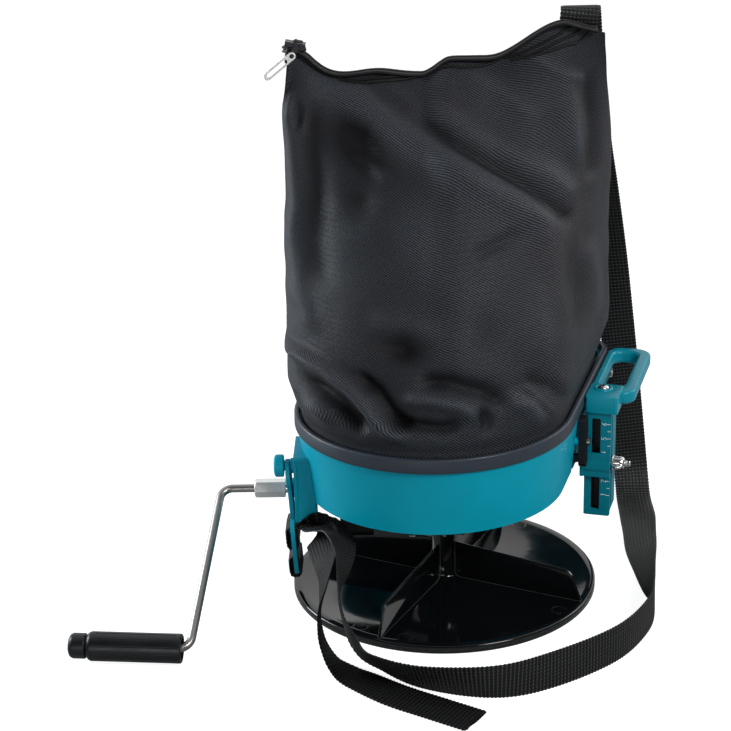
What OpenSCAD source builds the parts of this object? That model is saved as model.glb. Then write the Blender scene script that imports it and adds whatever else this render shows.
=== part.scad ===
// Shoulder spreader: a hand cranked seed and fertiliser spreader. A zipped cloth bag stands in a
// U shaped tub. The crank on the left turns the spinner below through a crown gear and a pinion.
// On the right a lever works a bell crank that slides the feed plate under the tub's floor, and
// a stop on the numbered column limits how far it opens.
// Millimetres. The origin is the centre of the spinner's underside, on the ground. X runs to the
// right along the crank shaft, Y runs away from the front, and Z is up.
// The tub, handle and column stand yawed to the crank shaft. Inside tub_frame() the first
// coordinate, n, runs out to the right side and the second, s, runs back.

/* [Spinner] */
// Radius of the spinner disc
disc_r = 120; // [119.5:0.5:120.5]
// Height of the disc's rim
disc_h = 6; // [6:0.5:7]
// Thickness of the disc's plate
disc_t = 3; // [2.5:0.5:4]
// Number of fins
fin_count = 4; // [3:1:6]
// Angle of the first fin from the X axis
fin_angle = -26; // [-30:1:-20]
// Thickness of a fin
fin_t = 2.2; // [1.8:0.2:3]
// Height of a fin's top at the hub
fin_top_in = 36; // [30:1:38]
// Height of a fin's top near its outer end
fin_top_out = 30; // [24:1:32]
// Diameter of the hub tube
hub_d = 20; // [19:1:22]
// Height of the hub tube's top
hub_top = 51; // [46:1:51]

/* [Shafts and gears] */
// Diameter of both steel shafts
shaft_d = 8; // [7.5:0.5:8]
// Height of the crank shaft's axis
axis_z = 83; // [82.8:0.1:83.2]
// Radial play of a turning or sliding fit
run_gap = 0.05; // [0.03:0.01:0.08]
// Teeth of the crown gear
crown_teeth = 24; // [24:1:24]
// Teeth of the pinion
pinion_teeth = 9; // [9:1:9]
// Mean radius of the crown gear's ring of teeth
crown_r = 21; // [21:0.1:21.1]
// Thickness of a tooth at half height
tooth_t = 1.9; // [1.6:0.1:2]

/* [Crank] */
// Diameter of the crank's rod
rod_d = 6.35; // [6:0.05:6.4]
// Distance from the shaft's axis out to the arm's outer corner
arm_reach = 145; // [144:0.5:146]
// Distance of the arm's inner corner from the spinner's axis
arm_x = 174; // [172:1:178]
// Lean of the arm outward from square
arm_lean = 6.5; // [5:0.5:8]
// Tilt of the grip's axis back towards the shaft
grip_tilt = 3; // [2:0.5:4]
// Centre line radius of the rod's bends
bend_r = 10; // [9:0.5:10]
// Diameter of the grip
grip_d = 22; // [20:0.5:22]
// Length of the grip
grip_len = 70; // [66:1:74]
// Width of the hexagonal coupler across its flats
hex_af = 13; // [12:0.5:14]

/* [Tub] */
// Turn of the tub, seen from above, from the crank shaft
tub_yaw = 15.4; // [15:0.2:15.8]
// Radius of the tub's lip at its round front
tub_r = 105; // [105:0.1:105.2]
// Distance from the front arc's centre to the back wall
tub_back = 175; // [173:1:178]
// Radius of the back corners
corner_r = 22; // [20:1:26]
// Thickness of the tub's wall
wall_t = 3; // [2.6:0.2:3.2]
// Height of the skirt's lower edge
skirt_z = 84; // [83.6:0.2:84]
// Height of the floor's underside
floor_z = 112; // [112:0.1:112.2]
// Thickness of the floor
floor_t = 3; // [3:0.5:4]
// Height of the shoulder that carries the rim band
shoulder_z = 136; // [136:0.1:136.2]
// Height of the rim band
band_h = 11; // [10:0.5:12]
// Thickness of the rim band
band_t = 4.2; // [4:0.1:4.4]

/* [Bag] */
// Thickness of the padded cloth
cloth_t = 2; // [1.6:0.2:2.4]
// Height of the seam's middle
seam_z = 408; // [400:1:416]
// Rise of the seam at its right corner
seam_rise = 26; // [20:1:30]
// Distance back of the seam
seam_y = 60; // [55:1:65]

/* [Gauge and lever] */
// Width of the column across its numbered front
column_w = 21; // [20.6:0.2:21]
// Height of the column's lower end
column_low = 42; // [40:1:44]
// Travel of the lever from closed to open
lever_travel = 16.4; // [16.4:0.1:16.4]
// Length of the bell crank's lever arm
bell_a = 24; // [24:0.1:24]
// Length of the bell crank's gate arm
bell_b = 21.2; // [21.2:0.1:21.2]
// Height of the stop's middle
stop_z = 87; // [84:1:92]

/* [Handle] */
// Reach of the side handle from the tub's arc centre
handle_out = 146; // [142:1:150]
// Distance back to the handle's rear end
handle_back = 168; // [165:1:170]
// Thickness of the handle's loop
handle_t = 11; // [10:0.5:12]

/* [Carrying strap] */
// Width of the webbing
strap_w = 30; // [28:1:30]
// Thickness of the webbing
strap_t = 1.8; // [1.6:0.1:2]
// Thickness of the strap hanger's plate
hanger_t = 3.2; // [3:0.1:3.4]
// Lean of the hanger's plate towards the tub
hanger_lean = 3.5; // [3:0.1:3.6]

/* [Hidden] */
$fn = 64;
e = 0.2;

// Fits and derived places
shaft_bore = shaft_d + 2 * run_gap;
tub_x = -6;
tub_y = 11;
wall_low = -3;
wall_top = 2;
lip_z = shoulder_z + 5;
inside_z = floor_z + floor_t;
tooth_h = 2.8;
crown_tip_x = -6.7;
crown_root_x = crown_tip_x - tooth_h;
crown_disc_x = -14;
crown_hub_x = -22;
pinion_r = crown_r * pinion_teeth / crown_teeth;
pinion_low = axis_z + crown_r - 3.8;
pinion_h = 7.6;
boss_x = -115.5;
bush_d = 12;
bush_bore_d = bush_d + 0.1;
shaft_end_x = -138;
hex_x0 = -148;
hex_x1 = -124;
grip_start = 5.5;
grip_gap = 1;
cap_len = 13;
cap_d = 19;
ground_gap = 0.3;
crank_turn = asin((axis_z - grip_d / 2 - ground_gap) / arm_reach);
pin_y = -16;
pin_z = 109;
pin_d = 8;
lever_s = 40;
stud_z = 110;
bell_n = tub_r - 19;
bell_z = 88;
bell_swing = 20;
bell_pin_d = 5;
port = [32, 43, -20, 16];
gate_z = 108.5;
gate_t = 3;
drawn_r = 105;
column_n = 110;
column_s = 50;
column_top = 131;
bolt_s = 56;
bolt_d = 5;
stop_h = 20;
housing = [-30, 16, -30, 30];
housing_low = 57;
housing_wall = 2.5;
cover_low = 54;

// Small helpers
module box(x0, x1, y0, y1, z0, z1) {
    translate([x0, y0, z0]) cube([x1 - x0, y1 - y0, z1 - z0]);
}

// Pieces on the right are drawn beside a lip at drawn_r and follow the tub's own lip
module beside_tub() {
    tub_frame() translate([tub_r - drawn_r, 0, 0]) children();
}

module tub_frame() {
    translate([tub_x, tub_y, 0]) rotate([0, 0, -tub_yaw]) children();
}

module along_x(x0, x1, d, y = 0, z = 0) {
    translate([x0, y, z]) rotate([0, 90, 0]) cylinder(h = x1 - x0, d = d);
}

module along_y(y0, y1, d, x = 0, z = 0) {
    translate([x, y0, z]) rotate([-90, 0, 0]) cylinder(h = y1 - y0, d = d);
}

module along_z(z0, z1, d, x = 0, y = 0) {
    translate([x, y, z0]) cylinder(h = z1 - z0, d = d);
}

// A rounded rectangle from its corners
module round_rect(x0, x1, y0, y1, r) {
    translate([x0 + r, y0]) square([x1 - x0 - 2 * r, y1 - y0]);
    translate([x0, y0 + r]) square([x1 - x0, y1 - y0 - 2 * r]);
    for (x = [x0 + r, x1 - r], y = [y0 + r, y1 - r]) translate([x, y]) circle(r = r);
}

// A flat shape drawn in Y and Z, made t thick along X from x0
module plate_x(x0, t) {
    translate([x0, 0, 0]) rotate([90, 0, 90]) linear_extrude(t) children();
}

// A flat shape drawn in X and Z, made t thick along Y from y0
module plate_y(y0, t) {
    translate([0, y0 + t, 0]) rotate([90, 0, 0]) linear_extrude(t) children();
}

// The tub's plan: a round front and straight sides, out to the given offset from the lip
module u_plan(out) {
    r = tub_r + out;
    back = tub_back + out;
    c = corner_r + out;
    circle(r = r);
    translate([-r, 0]) square([2 * r, back - c]);
    translate([c - r, 0]) square([2 * (r - c), back]);
    for (x = [c - r, r - c]) translate([x, back - c]) circle(r = c);
}

// Carries a profile round the tub's plan. Its x is the offset outward from the lip, its y is Z.
module u_sweep() {
    rotate([0, 0, 180]) rotate_extrude(angle = 180) translate([tub_r, 0]) children();
    for (k = [0, 1]) mirror([k, 0, 0]) {
        translate([tub_r, tub_back - corner_r, 0]) rotate([90, 0, 0])
            linear_extrude(tub_back - corner_r) children();
        translate([tub_r - corner_r, tub_back - corner_r, 0])
            rotate_extrude(angle = 90) translate([corner_r, 0]) children();
    }
    translate([corner_r - tub_r, tub_back, 0]) rotate([90, 0, 90])
        linear_extrude(2 * (tub_r - corner_r)) children();
}

// Offset of the tub's outer wall from its lip at height z
function wall_out(z) = wall_low + (wall_top - wall_low) * (z - skirt_z) / (shoulder_z - skirt_z);

// A pan head screw pointing up, with its head's seat at the origin
module screw_up(d, len, head_d, head_h) {
    cylinder(h = len, d = d);
    difference() {
        translate([0, 0, -head_h]) cylinder(h = head_h, d = head_d);
        for (a = [0, 90]) rotate([0, 0, a])
            translate([-head_d * 0.3, -0.5, -head_h - 1]) cube([head_d * 0.6, 1, 2]);
    }
}

// Spinner disc, with its fins and hub
module spinner_fin() {
    plate_y(-fin_t / 2, fin_t) polygon([[hub_d / 2 - 1, disc_h - e], [hub_d / 2 - 1, fin_top_in],
        [disc_r - 15, fin_top_out], [disc_r - 11, fin_top_out - 3], [disc_r - 2.5, disc_h - e]]);
}

module spinner() {
    color("#0c0d0f") difference() {
        union() {
            rotate_extrude($fn = 120) polygon([[0, 0], [15, 0], [17, disc_h - disc_t],
                [disc_r - 3, disc_h - disc_t], [disc_r - 3, 0], [disc_r - 0.4, 0],
                [disc_r, 0.5], [disc_r, 2.4], [disc_r - 0.6, 2.7], [disc_r - 0.6, 3.2],
                [disc_r, 3.5], [disc_r, disc_h - 0.6], [disc_r - 0.6, disc_h], [0, disc_h]]);
            cylinder(h = hub_top, d = hub_d);
            translate([0, 0, disc_h]) cylinder(h = 2.5, r1 = hub_d / 2 + 2.5, r2 = hub_d / 2);
            for (k = [0 : fin_count - 1]) rotate([0, 0, fin_angle + 360 / fin_count * k]) {
                spinner_fin();
                for (a = [-11, 9]) rotate([0, 0, a]) translate([disc_r - 10, 0, disc_h - e])
                    difference() {
                        cylinder(h = 0.5, d = 12);
                        translate([0, 0, -1]) cylinder(h = 3, d = 10.6);
                    }
            }
        }
        along_z(8, hub_top + 1, shaft_bore);
        along_y(-hub_d, hub_d, 3, 0, 44);
    }
}

module hub_pin() {
    color("#8c8f92") along_y(-hub_d / 2 - 0.5, hub_d / 2 + 0.5, 2.9, 0, 44);
}

module spinner_shaft() {
    color("#b9bcc0") difference() {
        along_z(8, floor_z - 1, shaft_d);
        along_y(-hub_d, hub_d, 3, 0, 44);
    }
}

// Gears
module pinion() {
    tooth_w = tooth_t + 0.55;
    tip_w = tooth_t - 0.75;
    color("#d8d6cc") translate([0, 0, pinion_low]) difference() {
        union() {
            cylinder(h = pinion_h, r = pinion_r - 1.7);
            for (k = [0 : pinion_teeth - 1]) rotate([0, 0, 180 + 360 / pinion_teeth * k])
                linear_extrude(pinion_h) polygon([[4.4, -tooth_w / 2], [pinion_r - 1.7, -tooth_w / 2],
                    [pinion_r + 1.1, -tip_w / 2], [pinion_r + 1.1, tip_w / 2],
                    [pinion_r - 1.7, tooth_w / 2], [4.4, tooth_w / 2]]);
        }
        translate([0, 0, -1]) cylinder(h = pinion_h + 2, d = shaft_d + 0.04);
    }
}

module crown_gear() {
    root_w = tooth_t + 0.6;
    tip_w = tooth_t - 0.6;
    color("#d8d6cc") difference() {
        translate([0, 0, axis_z]) rotate([0, 90, 0]) {
            translate([0, 0, crown_disc_x]) cylinder(h = crown_root_x - crown_disc_x, r = crown_r + 3.5);
            translate([0, 0, crown_hub_x]) cylinder(h = crown_disc_x - crown_hub_x + 1, d = 18);
            for (k = [0 : crown_teeth - 1]) rotate([0, 0, 360 / crown_teeth * (k + 0.5)])
                translate([crown_r - 3.5, 0, crown_root_x]) rotate([90, 0, 90]) linear_extrude(7)
                    polygon([[-root_w / 2, -e], [root_w / 2, -e], [tip_w / 2, tooth_h], [-tip_w / 2, tooth_h]]);
        }
        along_x(crown_hub_x - 1, crown_tip_x + 1, shaft_d + 0.04, 0, axis_z);
    }
}

// Crank shaft and crank
module drive_shaft() {
    color("#b9bcc0") along_x(shaft_end_x, crown_root_x, shaft_d, 0, axis_z);
}

module hex_coupler() {
    color("#9ea2a6") difference() {
        intersection() {
            translate([hex_x0, 0, axis_z]) rotate([0, 90, 0]) rotate([0, 0, 30])
                cylinder(h = hex_x1 - hex_x0, d = hex_af / cos(30), $fn = 6);
            translate([0, 0, axis_z]) rotate([0, 90, 0]) rotate_extrude() polygon([[0, hex_x0],
                [hex_af / 2 - 0.4, hex_x0], [hex_af / 2 + 2, hex_x0 + 1.8],
                [hex_af / 2 + 2, hex_x1], [0, hex_x1]]);
        }
        along_x(shaft_end_x, hex_x1 + 1, shaft_d + 0.04, 0, axis_z);
        along_x(hex_x0 - 1, shaft_end_x + 0.01, rod_d + 0.04, 0, axis_z);
    }
}

// The crank is drawn flat, going outward along x, and then turned down to its rest place
module crank_place() {
    translate([0, 0, axis_z]) rotate([crank_turn, 0, 0]) rotate([0, 0, 180]) children();
}

module straight(len) {
    rotate([0, 90, 0]) cylinder(h = len, d = rod_d);
    translate([len, 0, 0]) children();
}

module bend(angle) {
    side = sign(angle);
    translate([0, side * bend_r, 0]) {
        rotate([0, 0, side > 0 ? -90 : 90 - abs(angle)])
            rotate_extrude(angle = abs(angle)) translate([bend_r, 0]) circle(d = rod_d);
        rotate([0, 0, angle]) translate([0, -side * bend_r, 0]) children();
    }
}

turn_in = 90 - arm_lean;
turn_out = turn_in + grip_tilt;
cut_in = bend_r * tan(turn_in / 2);
cut_out = bend_r * tan(turn_out / 2);
arm_len = arm_reach / cos(arm_lean);
outer_x = arm_x + arm_reach * tan(arm_lean);
rod_end = grip_start + grip_len + grip_gap + cap_len - 3;

module crank_rod() {
    color("#a9adb1") crank_place() translate([-shaft_end_x, 0, 0])
        straight(arm_x + shaft_end_x - cut_in) bend(turn_in)
            straight(arm_len - cut_in - cut_out) bend(-turn_out) straight(rod_end - cut_out);
}

// Frame whose z runs outward along the grip's axis from the arm's outer corner
module grip_place() {
    crank_place() translate([outer_x, arm_reach, 0]) rotate([0, 0, -grip_tilt]) rotate([0, 90, 0]) children();
}

module crank_grip() {
    r = grip_d / 2;
    color("#17181a") grip_place() difference() {
        union() {
            translate([0, 0, grip_start]) rotate_extrude() polygon([[rod_d / 2 + run_gap, 8],
                [r - 2.2, 8], [r - 2.2, 0.4], [r - 1.8, 0], [r - 0.7, 0], [r, 0.8], [r, grip_len - 3],
                [r - 0.8, grip_len - 1.2], [r - 2, grip_len], [rod_d / 2 + run_gap, grip_len]]);
            for (k = [0 : 7]) rotate([0, 0, 45 * k]) translate([rod_d / 2 + 2.6, -0.7, grip_start + 1.5])
                cube([r - 2 - rod_d / 2 - 2.6, 1.4, 7]);
        }
        for (k = [0 : 11]) rotate([0, 0, 30 * k]) translate([r + 0.35, 0, grip_start + 4])
            cylinder(h = grip_len - 10, d = 1.6);
    }
}

module grip_cap() {
    z = grip_start + grip_len + grip_gap;
    color("#17181a") grip_place() difference() {
        translate([0, 0, z]) rotate_extrude() polygon([[0, 0], [cap_d / 2 - 0.8, 0], [cap_d / 2, 0.8],
            [cap_d / 2, cap_len - 3.5], [cap_d / 2 - 1.2, cap_len - 1.2], [cap_d / 2 - 3.6, cap_len], [0, cap_len]]);
        translate([0, 0, z - 1]) cylinder(h = cap_len - 2, d = rod_d + 0.02);
    }
}

module crank_bush() {
    color("#0f97a6") difference() {
        union() {
            along_x(boss_x - 3.2, boss_x, 15.5, 0, axis_z);
            along_x(boss_x - 1, boss_x + 17, bush_d, 0, axis_z);
        }
        along_x(boss_x - 5, boss_x + 20, shaft_bore, 0, axis_z);
    }
}

// Tub
module tub_inside() {
    translate([0, 0, inside_z]) linear_extrude(60) u_plan(-wall_t);
}

module hopper_tub() {
    color("#0c8f9f") difference() {
        union() {
            tub_frame() {
                u_sweep() polygon([[wall_low, skirt_z], [wall_top, shoulder_z], [0, shoulder_z], [0, lip_z],
                    [-wall_t, lip_z], [-wall_t, shoulder_z - 6], [wall_low - wall_t, skirt_z]]);
                translate([0, 0, floor_z]) linear_extrude(floor_t) u_plan(wall_low);
                along_x(tub_r - 3, tub_r + 2.2, 8, lever_s, stud_z);
                gate_rails();
                box(bell_n - 8, bell_n + 8, 46.5, 50.5, bell_z - 6, floor_z + 1);
            }
            difference() {
                box(boss_x, -98, -28, 16, 66, 120);
                tub_frame() translate([0, 0, inside_z]) linear_extrude(20) u_plan(-1);
                box(-104, -90, -23, 11, 60, floor_z - 5);
            }
            box(-104.5, -100, -9, 9, axis_z - 9, axis_z + 9);
        }
        along_x(boss_x - 1, -90, bush_bore_d, 0, axis_z);
        along_x(boss_x - 1, -104, pin_d + 0.04, pin_y, pin_z);
        tub_frame() {
            box(port[0], port[1], port[2], port[3], floor_z - 1, inside_z + 1);
            box(tub_r - 15, tub_r + 15, lever_s - 3, lever_s + 3, skirt_z - 1, 99);
            along_x(90, 120, 3.02, lever_s, stud_z);
            along_y(40, 60, bell_pin_d + 0.04, bell_n, bell_z);
            for (s = [92, 150]) along_x(tub_r - 15, tub_r + 15, 4.02, s, 127);
        }
        for (p = housing_screw_at) along_z(floor_z - 1, floor_z + 2.6, 3.02, p[0], p[1]);
        for (y = bearing_screw_y) along_z(floor_z - 1, floor_z + 2.6, 3.02, -68, y);
    }
}

module gate_rails() {
    for (r = [[-25, -22.3, -22.3, -19.5, bell_n + 2], [20.3, 23, 17.5, 20.3, bell_n - 16]]) {
        box(30.5, r[4], r[0], r[1], gate_z - 2.5, floor_z + 1);
        box(30.5, r[4], r[2], r[3], gate_z - 2.5, gate_z - 0.3);
    }
}

module rim_band() {
    t = band_t + 0.3;
    z1 = shoulder_z + band_h;
    color("#47494c") tub_frame() u_sweep() polygon([[0.3, shoulder_z], [t - 0.5, shoulder_z],
        [t, shoulder_z + 0.6], [t, z1 - 1], [t - 1, z1], [1.1, z1], [0.3, z1 - 0.8]]);
}

// Gear housing and the shaft's bearing block
bearing_screw_y = [-15, 1];
housing_screw_at = [for (x = [-22, 8], y = [-35, 35]) [x, y]];
cover_screw_at = [for (x = [-25, 11], y = [-25, 25]) [x, y]];

module gear_housing() {
    h = housing;
    w = housing_wall;
    color("#101113") difference() {
        union() {
            box(h[0], h[1], h[2], h[3], housing_low, floor_z);
            box(h[0] + 2, h[1] - 2, h[2] - 10, h[3] + 10, floor_z - 3, floor_z);
        }
        difference() {
            box(h[0] + w, h[1] - w, h[2] + w, h[3] - w, housing_low - 1, floor_z - 3);
            for (p = cover_screw_at) along_z(housing_low - 1, housing_low + 16, 8, p[0], p[1]);
        }
        along_x(h[0] - 1, h[0] + 5, shaft_bore, 0, axis_z);
        along_z(floor_z - 5, floor_z + 1, shaft_bore);
        for (p = cover_screw_at) along_z(housing_low - 1, housing_low + 12, 3.02, p[0], p[1]);
        for (p = housing_screw_at) along_z(floor_z - 5, floor_z + 1, 3.02, p[0], p[1]);
    }
}

module gear_cover() {
    h = housing;
    color("#101113") difference() {
        union() {
            box(h[0], h[1], h[2], h[3], cover_low, housing_low);
            along_z(housing_low - 1, housing_low + 5, 12.4);
        }
        along_z(cover_low - 1, housing_low + 6, shaft_bore);
        for (p = cover_screw_at) along_z(cover_low - 1, housing_low + 1, 3.02, p[0], p[1]);
    }
}

module housing_screws() {
    color("#8c8f92") for (p = housing_screw_at)
        translate([p[0], p[1], floor_z - 3]) screw_up(3, 5.4, 6, 2);
}

module cover_screws() {
    color("#8c8f92") for (p = cover_screw_at)
        translate([p[0], p[1], cover_low]) screw_up(3, 14, 6, 2);
}

module shaft_bearing() {
    color("#101113") difference() {
        plate_x(-81, 26) difference() {
            union() {
                round_rect(-24, 10, 50, 90, 6);
                translate([-24, 70]) square([34, floor_z - 70]);
            }
            round_rect(-20, 6, 92, 106, 2);
        }
        along_x(-83, -50, shaft_bore, 0, axis_z);
        for (y = bearing_screw_y) along_z(106 - 1, floor_z + 1, 3.02, -68, y);
    }
}

module bearing_screws() {
    color("#8c8f92") for (y = bearing_screw_y) translate([-68, y, 106]) screw_up(3, 8.4, 5, 1.6);
}

// Feed gate: plate, bell crank and lever
module gate_plate() {
    color("#c3c6c8") tub_frame() difference() {
        union() {
            box(30, 80, -22, 20, gate_z, gate_z + gate_t);
            box(bell_n - 14, bell_n - 1.5, 10, 45.7, gate_z, gate_z + gate_t);
        }
        box(gate_knob_n - 2.8, gate_knob_n + 2.8, 37.5, 42.5, gate_z - 1, gate_z + 5);
    }
}

gate_knob_n = bell_n - bell_b * sin(bell_swing);
lever_knob_z = bell_z + bell_a * sin(bell_swing);

module bell_crank() {
    color("#101113") tub_frame() translate([bell_n, 0, bell_z]) rotate([0, -bell_swing, 0]) difference() {
        union() {
            along_y(36.4, 46.2, 10);
            box(0, bell_a, 38, 42, -3, 3);
            along_y(38, 42, 6, bell_a, 0);
            box(-2.5, 2.5, 38, 42, 0, bell_b);
            along_y(38, 42, 5, 0, bell_b);
        }
        along_y(30, 50, bell_pin_d + 2 * run_gap);
    }
}

module bell_pin() {
    color("#b9bcc0") tub_frame() {
        along_y(36, 50.5, bell_pin_d, bell_n, bell_z);
        along_y(34.4, 36.1, 8, bell_n, bell_z);
    }
}

module gate_lever() {
    s = lever_s;
    color("#131416") beside_tub() difference() {
        union() {
            box(107.5, 113.5, s - 4, s + 4, 92.5, 128);
            along_x(107.5, 113.5, 8, s, 92.5);
            along_x(107.5, 113.5, 8, s, 128);
            box(108, 113, s + 3, s + 9, 115.7, 120);
        }
        box(100, 120, s - 2.3, s + 2.3, lever_knob_z - 3.8, lever_knob_z + 3.8);
        plate_x(100, 20) {
            translate([s - 1.8, 110]) square([3.6, 16.8]);
            for (z = [110, 126.8]) translate([s, z]) circle(d = 3.6);
        }
    }
}

module lever_stud() {
    color("#b9bcc0") beside_tub() {
        along_x(100.5, 114, 3, lever_s, stud_z);
        along_x(113.8, 116, 7, lever_s, stud_z);
        along_x(107.2, 107.4, 6, lever_s, stud_z);
    }
}

// Numbered column and its stop
module gauge_column() {
    n0 = column_n;
    n1 = column_n + column_w;
    color("#0f97a6") beside_tub() difference() {
        union() {
            plate_y(column_s, 2.5) round_rect(n0, n1, column_low, column_top, 1.5);
            box(n0, n1, column_s, column_s + 3, column_top - 10, column_top);
            plate_x(n0, 2.5) round_rect(column_s, 74, column_low, column_top, 1);
            plate_x(n1 - 2.5, 2.5) round_rect(column_s, 74, column_low + 4, column_top, 1);
            box(n0, n1, column_s, 74, column_top - 4, column_top);
            box(n1 - 8, n1 - 2, column_s - 0.5, column_s + 1, column_low + 6, column_top - 6);
        }
        plate_y(column_s - 2, 6) round_rect(n0 + 5.5, n0 + 12.5, 47, 126, 1.2);
        plate_x(n0 - 1, column_w + 2) round_rect(bolt_s - 2.7, bolt_s + 2.7, 47, 126, 2.6);
        along_z(column_top - 6, column_top + 2, 4.02, 121, 68.6);
    }
}

module column_liner() {
    color("#0b0c0d") beside_tub() box(column_n + 2.5, column_n + column_w - 2.5, 60, 62, 46, column_top - 4);
}

module rate_stop() {
    n1 = column_n + column_w;
    z0 = stop_z - stop_h / 2;
    z1 = stop_z + stop_h / 2;
    color("#0f97a6") beside_tub() difference() {
        union() {
            box(107, n1 + 0.3, 46.6, column_s - 0.8, z0, z1);
            box(107, n1 + 0.3, 45.7, 47, z0 + 6, z1 - 6);
            box(107, 109.7, 45.7, 62, z0, z1);
            plate_y(45.2, 2) round_rect(107, n1 + 0.3, z0 + 7.5, z1 - 7.5, 1.2);
        }
        along_x(100, 118, bolt_d + 2 * run_gap, bolt_s, stop_z);
    }
}

module clamp_bolt() {
    n1 = column_n + column_w;
    color("#b9bcc0") beside_tub() {
        along_x(104.6, 107, 9, bolt_s, stop_z);
        along_x(106, n1 + 15, bolt_d, bolt_s, stop_z);
    }
}

module wing_nut() {
    n1 = column_n + column_w;
    color("#c4c7ca") beside_tub() translate([n1 + 0.3, bolt_s, stop_z]) difference() {
        union() {
            rotate([0, 90, 0]) rotate_extrude() polygon([[0, 0], [6.5, 0], [6.5, 1.2], [5.4, 9], [4.6, 10], [0, 10]]);
            for (k = [0, 1]) rotate([180 * k, 0, 0]) hull() {
                translate([3, 0, 3]) rotate([90, 0, 0]) cylinder(h = 2.6, r = 2.6, center = true, $fn = 32);
                translate([8, 0, 12.5]) rotate([90, 0, 0]) cylinder(h = 2.2, r = 3.2, center = true, $fn = 32);
            }
        }
        along_x(-1, 20, bolt_d + 2 * run_gap);
    }
}

// Side handle
module side_handle() {
    top = 133 + handle_t;
    color("#0c8f9f") beside_tub() difference() {
        union() {
            translate([0, 0, 133]) linear_extrude(handle_t) difference() {
                round_rect(column_n, handle_out, 65, handle_back, 12);
                round_rect(column_n + 6, handle_out - 10, 78, handle_back - 10, 8);
            }
            plate_y(76, handle_back - 80) polygon([[drawn_r + wall_out(118), 118], [111, 118], [114, 134],
                [114, 136], [drawn_r + wall_out(136), 136]]);
            box(column_n, column_n + 26, 48, 78, column_top, top + 1);
            plate_y(76, 4) polygon([[drawn_r + wall_out(118), 118], [112, 118], [132, 134], [132, 136],
                [drawn_r + wall_out(136), 136]]);
        }
        for (s = [92, 150]) along_x(112.7, 125, 8.6, s, 127);
        along_z(column_top - 1, top - 2, 4.02, 121, 68.6);
        along_z(top - 2.5, top + 3, 9.6, 121, 68.6);
        for (s = [92, 150]) along_x(90, 120, 4.02, s, 127);
    }
}

module column_screw() {
    top = 133 + handle_t;
    color("#c4c7ca") beside_tub() translate([121, 68.6, top - 2.5]) rotate([180, 0, 0])
        screw_up(4, top - 2.5 - column_top + 4, 9, 3);
}

module flange_screws() {
    color("#8c8f92") beside_tub() for (s = [92, 150]) translate([112.7, s, 127])
        rotate([0, -90, 0]) screw_up(4, 12, 8, 2.4);
}

// Strap hanger: a ladder plate hung from a mushroom pin
module hanger_place() {
    translate([0, 0, pin_z]) rotate([0, -hanger_lean, 0]) translate([-118.6 - hanger_t, 0, -pin_z]) children();
}

module hanger_pin() {
    color("#0f97a6") {
        along_x(-131, -104.4, pin_d, pin_y, pin_z);
        along_x(-118.2, boss_x, 12, pin_y, pin_z);
        translate([0, pin_y, pin_z]) rotate([0, 90, 0]) rotate_extrude() polygon([[0, -131], [6, -131],
            [8.2, -130.2], [8.75, -128.8], [8.75, -124], [8.2, -123.4], [0, -123.4]]);
    }
}

module strap_hanger() {
    color("#0f97a6") translate([0, 0, pin_z]) difference() {
        rotate([0, -hanger_lean, 0]) translate([-118.6 - hanger_t, 0, -pin_z]) plate_x(0, hanger_t) difference() {
            union() {
                translate([pin_y, pin_z]) circle(d = 24);
                translate([pin_y - 7, 68]) square([14, pin_z - 68]);
                round_rect(pin_y - 19.5, pin_y + 19.5, 30, 74.5, 7);
            }
            for (z = [[66, 70.5], [50, 54.5], [41, 45.5]]) translate([pin_y - 15.5, z[0]])
                square([31, z[1] - z[0]]);
        }
        along_x(-140, -100, pin_d + 0.3, pin_y, 0);
    }
}

module strap_wrap() {
    y0 = pin_y - strap_w / 2;
    color("#1c1d1f") translate([0, 0, pin_z]) rotate([0, -hanger_lean, 0])
        translate([-118.6 - hanger_t, 0, -pin_z]) {
            plate_y(y0, strap_w) difference() {
                round_rect(-5, hanger_t + 2, 50.2, 70.3, 4);
                round_rect(-0.05, hanger_t + 0.05, 54.5, 66, 0.1);
            }
            plate_y(y0, strap_w) difference() {
                round_rect(-5, hanger_t + 2, 26.5, 45.3, 4);
                round_rect(-0.05, hanger_t + 0.05, 30, 41, 0.1);
            }
        }
}

// Bag: a padded cloth shell lofted from the tub's plan up to a straight zipped seam
bag_steps = 40;
bag_low = lip_z;
bag_lip = shoulder_z + band_h;

// A point of the tub's plan, seen from the front arc's centre at angle a
function u_point(a, r, back) = let (c = cos(a), d = sin(a),
        side = abs(c) < 0.001 ? 1e6 : r / abs(c), rear = d > 0.001 ? back / d : 1e6,
        reach = d <= 0 ? r : 1 / pow(pow(1 / side, 9) + pow(1 / rear, 9), 1 / 9))
    [reach * c, reach * d];

function to_world(p) = [tub_x + p[0] * cos(tub_yaw) + p[1] * sin(tub_yaw),
    tub_y - p[0] * sin(tub_yaw) + p[1] * cos(tub_yaw)];

// Left and right outlines of the bag, its seam's height and how deep it is, by height share t
function ease(x) = let (c = max(0, min(1, x))) c * c * (3 - 2 * c);
function bump(x, at, wide) = exp(-pow((x - at) / wide, 2));
function bag_left(t) = -119 + 3.2 * bump(t, 0.72, 0.15) - 1.5 * bump(t, 0.12, 0.1) + 8 * pow(t, 14);
function bag_right(t) = 139 + 3 * sin(180 * t) - 13 * pow(t, 1.6);
function seam_height(k) = seam_z - 11.5 + 22 * bump(k, -1, 0.17) + 3 * bump(k, -0.45, 0.15)
    + 11.5 * ease((k + 0.17) / 0.2) + seam_rise * ease((k - 0.25) / 0.5) - 32 * max(0, k - 0.75);
function bag_depth(t) = (1 - pow(t, 1.75)) * 0.985 + 0.015;

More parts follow.
